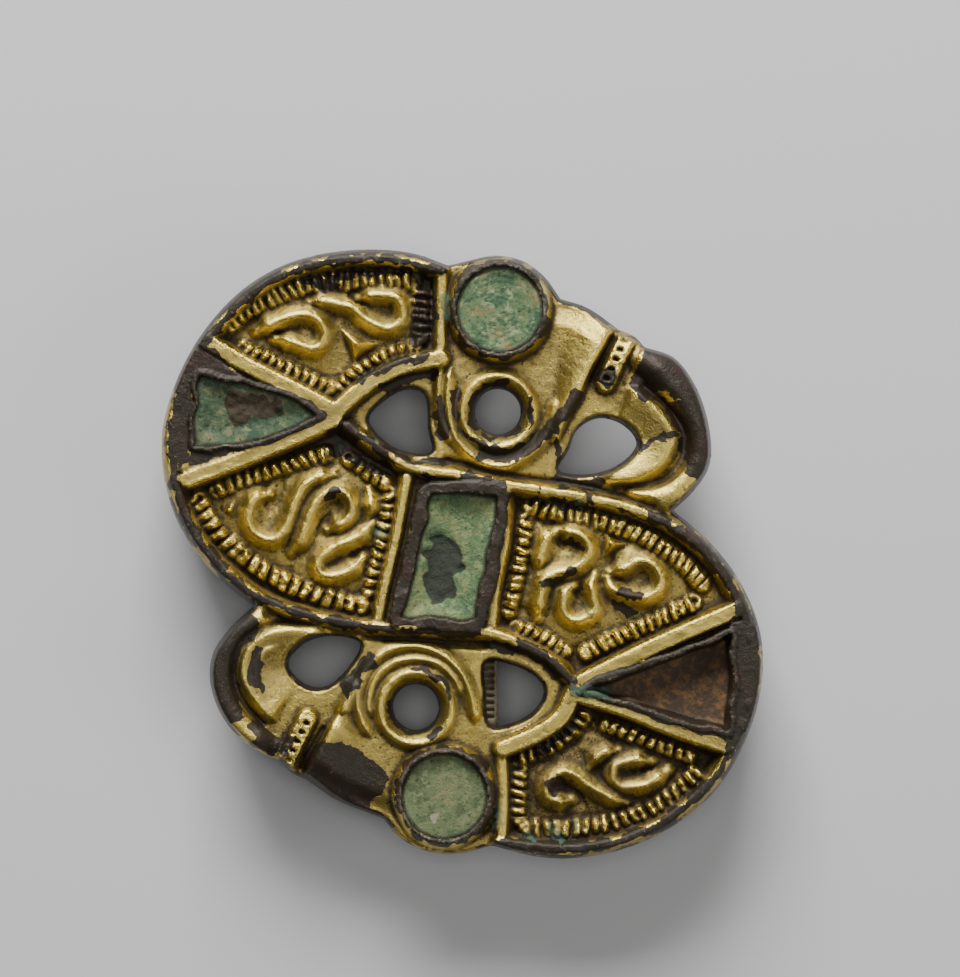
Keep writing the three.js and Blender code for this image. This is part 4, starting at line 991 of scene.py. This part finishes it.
# Height of the carved face, how worn its gilding is, how sunk each place lies, and its rust and verdigris
def carvedFace(x, y):
    edge, opening = edgeDepth(x, y), openingDepth(x, y)
    within = np.minimum(edge, opening)
    coarse, fine = unevenness(x, y, 2.2, 3), unevenness(x, y, 0.7, 4)
    tornX = x + 0.24 * unevenness(x, y, 0.6, 51) + 0.12 * unevenness(x, y, 0.24, 52)
    tornY = y + 0.24 * unevenness(x, y, 0.6, 53) + 0.12 * unevenness(x, y, 0.24, 54)
    inPanel = np.zeros(x.shape)
    for line in panels:
        inPanel = np.maximum(inPanel, smoothStep(-0.12, 0.12, depthInside(line, x, y, 3)))
    height = headHeight(x, y, coarse) * (1 - inPanel) + (plate["panelFloor"] + 0.05 * fine) * inPanel
    height = np.where(inPanel > 0.3, np.maximum(height, carving(x, y)), height)
    height = withRidges(height, bars, x, y, fine)
    height = withRidges(height, panelEdges, x, y, fine)
    height = np.maximum(height, flats["top"] * patches(flats["outlines"], x, y, 0.15))
    height = withRidges(height, rims, x + 0.12 * (tornX - x), y + 0.12 * (tornY - y), fine)
    height = withCells(height, x, y, fine)
    height = withEyes(height, x, y, coarse, fine)
    height = withWalls(height, x, y, edge, opening)
    rough = (0.012 + 0.015 * inPanel) * (unevenness(x, y, 0.4, 9) + 0.5 * unevenness(x, y, 0.2, 10))
    height = np.clip(height + rough * smoothStep(0.1, 0.6, within), plate["foot"], plate["highest"])
    # sunk drives the gold's painted highlight on proud places and its painted shade in hollows
    sunk = sunkBelow(x, y, height, 0.36) + 0.3 * sunkBelow(x, y, height, 0.9)
    sunk = np.where(within < 0.5, 0, sunk)
    # painted shade: the last panel counts as more sunk, so that its gold reads darker
    sunk = sunk + 0.12 * (depthInside(panels[-1], x, y, 3) > 0)
    worn = wornGilding(x, y, tornX, tornY, coarse, fine, edge, opening)
    rust = smoothStep(0.1, 0.4, depthInside(cells["lines"]["right"], x, y, 3))
    green = strokes(greenStrokes, tornX, tornY)
    return height, worn, sunk, rust, green


# Materials

# An sRGB hex colour as linear light: c / 12.92 up to 0.04045, and ((c + 0.055) / 1.055)^2.4 above
def linear(colour):
    parts = np.array([int(colour[i:i + 2], 16) / 255 for i in (1, 3, 5)])
    parts = np.where(parts <= 0.04045, parts / 12.92, ((parts + 0.055) / 1.055) ** 2.4)
    return (*parts.tolist(), 1.0)


# Gives a node its inputs, as values or as sockets to link
def setInputs(tree, node, inputs):
    for key, value in inputs.items():
        if isinstance(value, bpy.types.NodeSocket):
            tree.links.new(value, node.inputs[key])
        else:
            node.inputs[key].default_value = value


# Adds a node with its settings and inputs, and returns one of its outputs
def addNode(tree, kind, inputs=None, output=0, **settings):
    made = tree.nodes.new(kind)
    for key, value in settings.items():
        setattr(made, key, value)
    setInputs(tree, made, inputs or {})
    return made.outputs[output]


# A material in layers. Noises are named, with their size in millimetres and their roughness. Each layer
# has a name, what it follows (weights on noises, attributes of the mesh and layers before it), the two
# values of that sum between which it grows to its share, and its tint, metalness and roughness. Bumps are
# weights in millimetres of height on the same sources.
def layered(name, v):
    material = bpy.data.materials.new(name)
    material.use_nodes = True
    tree = material.node_tree
    place = addNode(tree, "ShaderNodeTexCoord", output="Object")
    sources = {}
    for noise, (size, roughness) in v["noises"].items():
        sources[noise] = addNode(tree, "ShaderNodeTexNoise", {"Vector": place, "Scale": 1 / (size * mm),
                                                              "Detail": 5, "Roughness": roughness})
    for attribute in v.get("attributes", ()):
        sources[attribute] = addNode(tree, "ShaderNodeAttribute", output="Fac", attribute_name=attribute)

    tint, metal, rough = v["base"]
    colour = linear(tint)
    for layer, weights, low, high, most, tint, layerMetal, layerRough in v["layers"]:
        total = 0.0
        for source, weight in weights.items():
            total = addNode(tree, "ShaderNodeMath", {0: sources[source], 1: weight, 2: total},
                            operation="MULTIPLY_ADD")
        share = addNode(tree, "ShaderNodeMapRange", {"Value": total, "From Min": low, "From Max": high,
                                                     "To Max": most}, interpolation_type="SMOOTHSTEP")
        colour = addNode(tree, "ShaderNodeMix", {0: share, 6: colour, 7: linear(tint)}, 2, data_type="RGBA")
        metal = addNode(tree, "ShaderNodeMix", {0: share, 2: metal, 3: layerMetal})
        rough = addNode(tree, "ShaderNodeMix", {0: share, 2: rough, 3: layerRough})
        sources[layer] = share
    height = 0.0
    for source, weight in v["bumps"].items():
        height = addNode(tree, "ShaderNodeMath", {0: sources[source], 1: weight, 2: height},
                         operation="MULTIPLY_ADD")
    bump = addNode(tree, "ShaderNodeBump", {"Height": height, "Distance": mm})
    setInputs(tree, tree.nodes["Principled BSDF"],
              {"Base Color": colour, "Metallic": metal, "Roughness": rough, "Normal": bump})
    return material


# Fire-gilt bronze, cast, chip-carved and gilded with mercury: warm, slightly grainy gold, burnished on its
# crests and lightened there as a painted highlight, with brown grime darkened further as painted shade in its
# hollows, and dark pits. Where it is rubbed through, the bronze shows as a dark brown patina with a dull
# sheen. The empty cell is rusty, and verdigris has seeped out in a few places.
# The gilding flowed and pooled over 1 to 2 mm and blistered over less than one. Its own grain, of 0.02 to
# 0.05 mm, is too fine to show in the render, so it is drawn 0.3 and 0.13 mm coarse.
giltBronze = {
    "noises": {"cloud": (2.2, 0.62), "blotch": (0.8, 0.6), "grain": (0.3, 0.7), "fine": (0.13, 0.6)},
    "attributes": ("worn", "sunk", "rust", "green"),
    "base": ("#ac9755", 1.0, 0.32),
    "layers": [
        ("rich", {"cloud": 1}, 0.4, 0.62, 0.7, "#bea754", 1.0, 0.29),
        # painted highlight: proud places turn pale bright gold, partly burnished gilding and partly painted
        # highlight
        ("burnish_and_highlight", {"sunk": -1, "grain": 0.12}, 0.07, 0.24, 0.9, "#e3ca68", 1.0, 0.25),
        # painted shade: hollows turn duller and dark brown, partly dust and grime and partly painted shade
        ("dust_and_shade", {"sunk": 1, "blotch": 0.3}, 0.18, 0.5, 0.75, "#84703f", 0.95, 0.45),
        ("grime_and_shade", {"sunk": 1, "grain": 0.7, "blotch": 0.4}, 0.5, 0.84, 0.9, "#382b14", 0.5, 0.6),
        ("pits", {"grain": 1, "fine": 0.4, "sunk": -0.45}, 0.59, 0.53, 0.9, "#2e240f", 0.5, 0.6),
        ("bare", {"worn": 1, "cloud": 0.9, "blotch": 1.2, "grain": 0.9}, 1.96, 2.02, 1.0,
         "#2b2519", 0.35, 0.38),
        ("red", {"bare": 1, "cloud": 1.5, "blotch": 0.5}, 1.95, 2.2, 0.8, "#35241a", 0.35, 0.38),
        # paler rubbed metal on bare proud places, and painted light on the catch, whose low sunk value
        # lightens it
        ("scuffs_and_catch_light", {"bare": 1, "sunk": -0.25, "grain": 1, "fine": 0.5}, 1.9, 2.08, 0.5,
         "#8a8068", 0.7, 0.33),
        ("rust", {"rust": 1}, 0.3, 0.7, 1.0, "#46372a", 0.0, 0.8),
        ("ochre", {"rust": 1, "blotch": 0.8, "grain": 0.8}, 1.72, 1.98, 0.9, "#77592f", 0.0, 0.8),
        ("verdigris", {"green": 1, "blotch": 1.2, "grain": 0.8}, 1.74, 1.9, 0.7, "#3a5a45", 0.0, 0.75),
    ],
    "bumps": {"cloud": 0.08, "blotch": 0.05, "grain": 0.06, "fine": 0.035, "bare": -0.03, "scuffs_and_catch_light": 0.015,
              "verdigris": 0.05},
}


# Glass paste decayed to a chalky green crust stained by copper: dull, granular, with paler and darker
# grains, one patch of another colour and a dark border. Stains run over 1 to 2 mm and lumps over 0.7 mm.
# The grains of copper salts, of 0.05 to 0.1 mm, are drawn at 0.12 mm and at 0.22 mm and more, so that they
# show.
def greenCrust(name, v):
    return layered(name, {
        "noises": {"cloud": (1.8, 0.7), "lump": (0.7, 0.7), "grain": (v["grain"], 0.75), "fine": (0.12, 0.6)},
        "attributes": ("odd", "border"),
        "base": (v["mid"], 0.0, 0.85),
        "layers": [
            ("pale", {"lump": 1, "grain": 0.6}, 0.8, 0.98, 0.9, v["light"], 0.0, 0.85),
            ("dark", {"cloud": 1, "lump": 0.3, "grain": 0.3}, 0.8, 0.68, 0.9, v["dark"], 0.0, 0.8),
            ("tan", {"cloud": 1, "lump": 0.4, "grain": 0.4}, 0.92, 1.04, 0.85, v["tan"], 0.0, 0.9),
            ("odd", {"odd": 1, "grain": 0.8, "cloud": 1.4}, 1.5, 1.75, 0.95, v["patchTint"], 0.0, 0.85),
            ("specks", {"grain": 1}, 0.39, 0.33, 0.9, "#22261a", 0.0, 0.85),
            ("border", {"border": 1, "grain": 1.2}, 1.15, 1.5, 0.85, "#2a2c20", 0.0, 0.8),
        ],
        "bumps": {"grain": 0.12, "fine": 0.05, "specks": -0.06},
    })


# Drawn iron wire rusted brown through, which makes it matt and crusty. Its scales of rust are 0.2 to 0.5 mm.
rustedIron = {
    "noises": {"crust": (0.5, 0.7), "grain": (0.2, 0.7)},
    "base": ("#2c221c", 0.25, 0.8),
    "layers": [
        ("brown", {"crust": 1, "grain": 0.5}, 0.6, 0.95, 1.0, "#6b4a33", 0.1, 0.85),
    ],
    "bumps": {"crust": 0.08, "grain": 0.03},
}


# The casting

# Lugs and catch behind the plate; heights are from the table
fittings = {
    "lugsAt": (-6.35, 0.45),
    "lugThickness": 0.9,
    "lug": [(-1.2, 0), (1.2, 0), (1.7, 0.5), (2.1, 4.4), (2.1, 4.85), (-2.1, 4.85), (-2.1, 4.4), (-1.7, 0.5)],
    "lugCorners": 0.35,
    "chamfer": 0.1,
    "springAt": (13.5, 2.15),
    "axleHole": 0.6,
    "catch": [(0.45, 0), (2.35, 0), (2.35, 4.7), (2.12, 4.7), (2.1, 4.7), (1.02, 4.7), (1, 4.7), (0.85, 4.7),
              (1.6, 3.65), (1.6, 0.5), (0.95, 0.5), (0.45, 0.8)],
    "notched": (4, 5),   # the points of the section that drop at each notch
    "catchFrom": -6.9,
    "catchLength": 4.6,
    "notchPitch": 0.46,
    "notchDepth": 0.16,
    "notchSide": 0.05,   # how far the sides of a notch slope
}

# What the material reads behind the plate, on its back and lugs and then on the catch: no gilding
# anywhere, and the catch painted lighter grey, as painted light on a part that lies in the plate's shadow
behindPlate = {"worn": (1.3, 1.3), "sunk": (-0.3, -3), "rust": (0, 0), "green": (0, 0)}


# A lug at x: its rounded outline and the axle's hole, carried through its thickness with chamfered edges
def lug(x):
    v = fittings
    y, z = v["springAt"]
    turn = np.linspace(0, -2 * np.pi, 28, endpoint=False)
    hole = np.column_stack([v["axleHole"] * np.cos(turn), z + v["axleHole"] * np.sin(turn)])
    sides = rounded(v["lug"], v["lugCorners"])
    c, t = v["chamfer"], v["lugThickness"]
    points, faces = slab([(depth, [drawnIn(sides, inset), drawnIn(hole, inset)])
                          for depth, inset in ((0, c), (c, 0), (t - c, 0), (t, c))])
    return np.column_stack([points[:, 2] + x, points[:, 0] + y, points[:, 1]]), faces


# The catch: its hooked section carried along Y, with notches cut into its ledge at an even pitch
def catchPlate():
    v = fittings
    section = np.array(v["catch"], float)
    cut = section.copy()
    cut[list(v["notched"]), 1] -= v["notchDepth"]
    chamfered = drawnIn(section, v["chamfer"])
    side, half = v["notchSide"], v["notchPitch"] / 2
    levels = [(0, [chamfered]), (v["chamfer"], [section])]
    for i in range(int(v["catchLength"] / v["notchPitch"])):
        start = (i + 0.25) * v["notchPitch"]
        levels += [(start, [section]), (start + side, [cut])]
        levels += [(start + half - side, [cut]), (start + half, [section])]
    levels += [(v["catchLength"] - v["chamfer"], [section]), (v["catchLength"], [chamfered])]
    points, faces = slab(levels)
    return np.column_stack([points[:, 0], v["catchFrom"] - points[:, 2], points[:, 1]]), faces


# The carved face over a nearly flat back, with the lugs and the catch, all held inside the CAD part's box
def buildCasting():
    low, high = outline.min(axis=0) - 0.3, outline.max(axis=0) + 0.3

    def surface(x, y):
        height, *values = carvedFace(x, y)
        return height + backZ, *values

    points, faces, values = relief(low, high, plate["step"], plateDepth, surface, backZ,
                                   foot=backZ + plate["foot"], bumps=0.04)
    catch = catchPlate()
    points, faces = joined([(points, faces)] + [lug(x) for x in fittings["lugsAt"]] + [catch])
    boxLow, boxHigh = (np.array(corner) / mm for corner in cadBox)
    piece = makeObject("carved_casting", np.clip(points, boxLow, boxHigh), faces)
    backCount = len(points) - len(catch[0]) - len(values[0])
    for (name, (onBack, onCatch)), value in zip(behindPlate.items(), values):
        giveValues(piece, name, np.concatenate([value, np.full(backCount, onBack)]), onCatch)
    piece.data.materials.append(layered("fire-gilt bronze", giltBronze))
    print("casting", len(faces), "faces")
    return piece


# The crusts

# Crusts of decayed glass paste: how high they fill above the plate's back, how they meet the wall, and tints
crusts = {
    "upper_eye": {
        "node": "upper_eye_inlay", "eye": 0, "top": 2.78, "dish": 0.12, "bumps": 0.1, "rings": 0.035,
        "mid": "#5d744e", "light": "#96a179", "dark": "#35543a", "tan": "#877852", "grain": 0.26,
        "patches": [], "patchTint": "#a59a78", "patchRise": 0,
    },
    "lower_eye": {
        "node": "lower_eye_inlay", "eye": 1, "top": 2.7, "dish": 0.05, "bumps": 0.03, "rings": 0,
        "mid": "#64704b", "light": "#7b865e", "dark": "#4e5c3a", "tan": "#7d7b57", "grain": 0.22,
        "patches": [[(-2.1, -17.3), (-1.6, -17.2), (-1.5, -17.6), (-1.8, -17.9), (-2.2, -17.7)]],
        "patchTint": "#99937a", "patchRise": 0.02,
    },
    "left_cell": {
        "node": "left_cell_inlay", "cell": "left", "top": 2.2, "dish": 0.45, "bumps": 0.12, "rings": 0,
        "mid": "#47583e", "light": "#6c7956", "dark": "#2d4630", "tan": "#746c48", "grain": 0.28,
        "patches": [[(-15.5, 10.3), (-14.4, 10.6), (-13.4, 10.2), (-13.6, 9.2), (-14.3, 8.2), (-15, 8.3),
                     (-15.4, 9.3)],
                    [(-13.9, 9.9), (-12.6, 10.1), (-11.6, 9.5), (-12.3, 8.9), (-13.4, 9)]],
        "patchTint": "#3a2f20", "patchRise": 0.15,
    },
    "centre_cell": {
        "node": "centre_cell_inlay", "cell": "centre", "top": 2.15, "dish": 0.4, "bumps": 0.06, "rings": 0,
        "mid": "#647a50", "light": "#8f9c6c", "dark": "#446044", "tan": "#888c5c", "grain": 0.24,
        "patches": [[(-2.2, 0.6), (-1.3, 1.1), (-0.4, 0.9), (0.2, 0), (0, -0.9), (-0.3, -1.6), (-0.3, -2.5),
                     (-1, -3.2), (-2, -3.2), (-2.4, -2.3), (-2.2, -1.4), (-2.5, -0.4)]],
        "patchTint": "#2d322a", "patchRise": -0.25,
    },
}

crustStep = 0.13   # grid of the crusts
crustGap = 0.02    # between a crust and the wall round it
crustAbove = 0.03  # between a crust and the floor under it


# A crust: top + dish (1 - smoothStep(inward)) from its walls towards the middle, with lumps, turned lines
# (rings sin(16 r + 3 unevenness)) and one odd patch
def buildCrust(name, v):
    if "eye" in v:
        centre = np.array(eyes["centres"][v["eye"]])
        radius = eyes["well"] - crustGap
        low, high = centre - radius - 0.2, centre + radius + 0.2
        floor = eyes["floor"]

        def depthOf(x, y):
            return radius - np.hypot(x - centre[0], y - centre[1])
    else:
        line = np.array(cells["lines"][v["cell"]], float)
        centre = line.mean(axis=0)
        low, high = line.min(axis=0) - 0.2, line.max(axis=0) + 0.2
        floor = cells["floor"]

        def depthOf(x, y):
            return cellDepth(v["cell"], x, y) - crustGap

    def surface(x, y):
        inward = depthOf(x, y)
        r = np.hypot(x - centre[0], y - centre[1])
        lumps = 0.6 * unevenness(x, y, 0.6, 31) + 0.4 * unevenness(x, y, 0.25, 32)
        tornX, tornY = x + 0.3 * unevenness(x, y, 0.5, 34), y + 0.3 * unevenness(x, y, 0.5, 35)
        odd = patches(v["patches"], tornX, tornY, 0.3)
        height = (v["top"] + v["dish"] * fading(0, 1.3, inward) + v["bumps"] * lumps * (1 + odd)
                  + v["rings"] * np.sin(r * 16 + 3 * unevenness(x, y, 0.8, 33)) + v["patchRise"] * odd)
        return height + backZ, odd, smoothStep(0.5, 0, inward)

    bottom = backZ + floor + crustAbove
    points, faces, (odd, border) = relief(low, high, crustStep, depthOf, surface, bottom)
    piece = makeObject(name + "_crust", points, faces)
    giveValues(piece, "odd", odd)
    giveValues(piece, "border", border)
    piece.data.materials.append(greenCrust(name.replace("_", " ") + " crust", v))
    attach(piece, "brooch")
    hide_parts(v["node"])
    print(name, len(faces), "faces")


# The spring, the pin and their axle

wire = {
    "radius": 0.49,
    "from": -4.6,        # where the coil starts along its axis, and where it ends
    "to": -0.4,
    "coilRadius": 1.3,
    "turns": 3.5,
    "turnRings": 48,     # rings of points in a turn of the coil
    "anchor": 2.4,       # length of the leg that bears on the plate
    "anchorRings": 24,
    "tipY": -12.5,
    "rise": 0.7,         # how far the needle climbs towards the catch
    "needleRings": 159,
    "pointLength": 3.6,
    "tip": 0.16,
    "sides": 16,
}

axle = {"radius": 0.44, "from": -6.68, "to": 1.68, "rings": 60, "sides": 20}


# A round section carried along a path: each ring stands square to it, at path + r (cos across + sin up),
# and the rings are closed by flat ends
def sweep(path, radii):
    along = np.gradient(path, axis=0)
    along = along / np.linalg.norm(along, axis=1)[:, None]
    across = np.array([1.0, 0, 0]) - along * along[:, :1]
    across = across / np.linalg.norm(across, axis=1)[:, None]
    up = np.cross(along, across)
    turn = np.linspace(0, 2 * np.pi, radii.shape[1], endpoint=False)
    ring = across[:, None] * np.cos(turn)[None, :, None] + up[:, None] * np.sin(turn)[None, :, None]
    points = path[:, None] + ring * radii[..., None]
    return points.reshape(-1, 3), tubeFaces(*radii.shape)


# Radii roughened by rust: 0.97 + depth unevenness, times the radius at each place along
def rusted(radius, lengthwise, sides, depth, size, seed):
    turn = np.linspace(0, 2 * np.pi, sides, endpoint=False)
    u, v = np.meshgrid(lengthwise, np.cos(turn), indexing="ij")
    return radius[:, None] * (0.97 + depth * unevenness(u, v, size, seed))


# One wire: the anchor leg, the coil as a helix about the axle, and the needle, which tapers to its tip
def buildPin():
    v = wire
    y, z = fittings["springAt"]
    turn = np.linspace(0, v["turns"] * 2 * np.pi, int(v["turns"] * v["turnRings"]))
    coil = np.column_stack([v["from"] + (v["to"] - v["from"]) * turn / turn[-1],
                            y + v["coilRadius"] * np.sin(turn), z + v["coilRadius"] * np.cos(turn)])
    back = np.linspace(-v["anchor"], 0, v["anchorRings"], endpoint=False)
    anchor = np.column_stack([np.full(len(back), v["from"]), y + back,
                              np.full(len(back), z + v["coilRadius"])])
    share = np.linspace(0, 1, v["needleRings"] + 1)[1:]
    needle = np.column_stack([np.full(len(share), v["to"]), y + (v["tipY"] - y) * share,
                              z - v["coilRadius"] + v["rise"] * share])
    path = np.vstack([anchor, coil, needle])
    left = (1 - share) * (y - v["tipY"])
    taper = v["tip"] + (v["radius"] - v["tip"]) * np.clip(left / v["pointLength"], 0, 1)
    radius = np.concatenate([np.full(len(anchor) + len(coil), v["radius"]), taper])
    lengthwise = np.concatenate([[0], np.cumsum(np.linalg.norm(np.diff(path, axis=0), axis=1))])
    points, faces = sweep(path, rusted(radius, lengthwise, v["sides"], 0.035, 0.35, 41))
    piece = makeObject("iron_pin", points, faces)
    piece.data.materials.append(layered("rusted iron", rustedIron))
    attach(piece, "pin")
    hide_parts("spring_pin")
    print("pin", len(faces), "faces")


# A straight rod along X with rounded ends: y + r cos and z + r sin
def buildAxle():
    v = axle
    y, z = fittings["springAt"]
    length = v["to"] - v["from"]
    end = np.array([0, 0.03, 0.1])  # the rings that round each end
    x = v["from"] + np.concatenate([end, np.linspace(0.2, length - 0.2, v["rings"]), length - end[::-1]])
    radius = v["radius"] * np.ones(len(x))
    radius[[0, -1]] *= 0.7
    radius[[1, -2]] *= 0.9
    r = rusted(radius, x, v["sides"], 0.03, 0.4, 43)
    turn = np.linspace(0, 2 * np.pi, v["sides"], endpoint=False)
    points = np.stack([x[:, None] * np.ones(v["sides"]), y + r * np.cos(turn), z + r * np.sin(turn)], axis=-1)
    faces = tubeFaces(*r.shape)
    piece = makeObject("iron_axle", points.reshape(-1, 3), faces)
    piece.data.materials.append(layered("rusted iron", rustedIron))
    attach(piece, "brooch")
    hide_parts("spring_axle")
    print("axle", len(faces), "faces")


casting = buildCasting()
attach(casting, "brooch")
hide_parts("brooch_casting")
for name, values in crusts.items():
    buildCrust(name, values)
buildPin()
buildAxle()


# Stage

# Sizes and places in metres; each lamp has its place, its width and depth, and its watts
studio = {
    "floorHalf": 0.6,
    "floorTint": "#c9c9c9",
    "lens": 225,
    "sensor": 36,
    "cameraAt": (1.2 * mm, 4.233 * mm, 0.4065),
    "lamps": {
        "key": ((-0.04, 0.34, 0.22), (0.24, 0.2), 3.4),
        "overhead": ((0, 0.03, 0.6), (0.3, 0.22), 0.7),
        "side": ((0.4, -0.12, 0.25), (0.22, 0.22), 0.6),
    },
    "skyTint": "#8a8a8a",
    "skyStrength": 0.42,
}

half = studio["floorHalf"]
corners = [(-half, -half, 0), (half, -half, 0), (half, half, 0), (-half, half, 0)]
floorMesh = bpy.data.meshes.new("floor")
floorMesh.from_pydata(corners, [], [(0, 1, 2, 3)])
floor = bpy.data.objects.new("floor", floorMesh)
bpy.context.scene.collection.objects.link(floor)
paper = bpy.data.materials.new("pale paper")  # matt studio paper, which takes soft shadows and no glints
paper.use_nodes = True
setInputs(paper.node_tree, paper.node_tree.nodes["Principled BSDF"],
          {"Base Color": linear(studio["floorTint"]), "Roughness": 0.95})
floorMesh.materials.append(paper)

camera = bpy.data.objects.new("camera", bpy.data.cameras.new("camera"))
camera.data.lens = studio["lens"]
camera.data.sensor_width = studio["sensor"]
camera.location = studio["cameraAt"]
camera.data.clip_start, camera.data.clip_end = 0.01, 5
bpy.context.scene.collection.objects.link(camera)
bpy.context.scene.camera = camera

for name, (place, (width, depth), power) in studio["lamps"].items():
    light = bpy.data.lights.new(name, "AREA")
    light.shape = "RECTANGLE"
    light.size, light.size_y = width, depth
    light.energy = power
    lamp = bpy.data.objects.new(name, light)
    lamp.location = place
    lamp.rotation_euler = (-lamp.location).to_track_quat("-Z", "Y").to_euler()  # towards the brooch
    bpy.context.scene.collection.objects.link(lamp)

world = bpy.data.worlds.new("studio")
world.use_nodes = True
setInputs(world.node_tree, world.node_tree.nodes["Background"],
          {"Color": linear(studio["skyTint"]), "Strength": studio["skyStrength"]})
bpy.context.scene.world = world
print("stage", len(studio["lamps"]), "lamps")
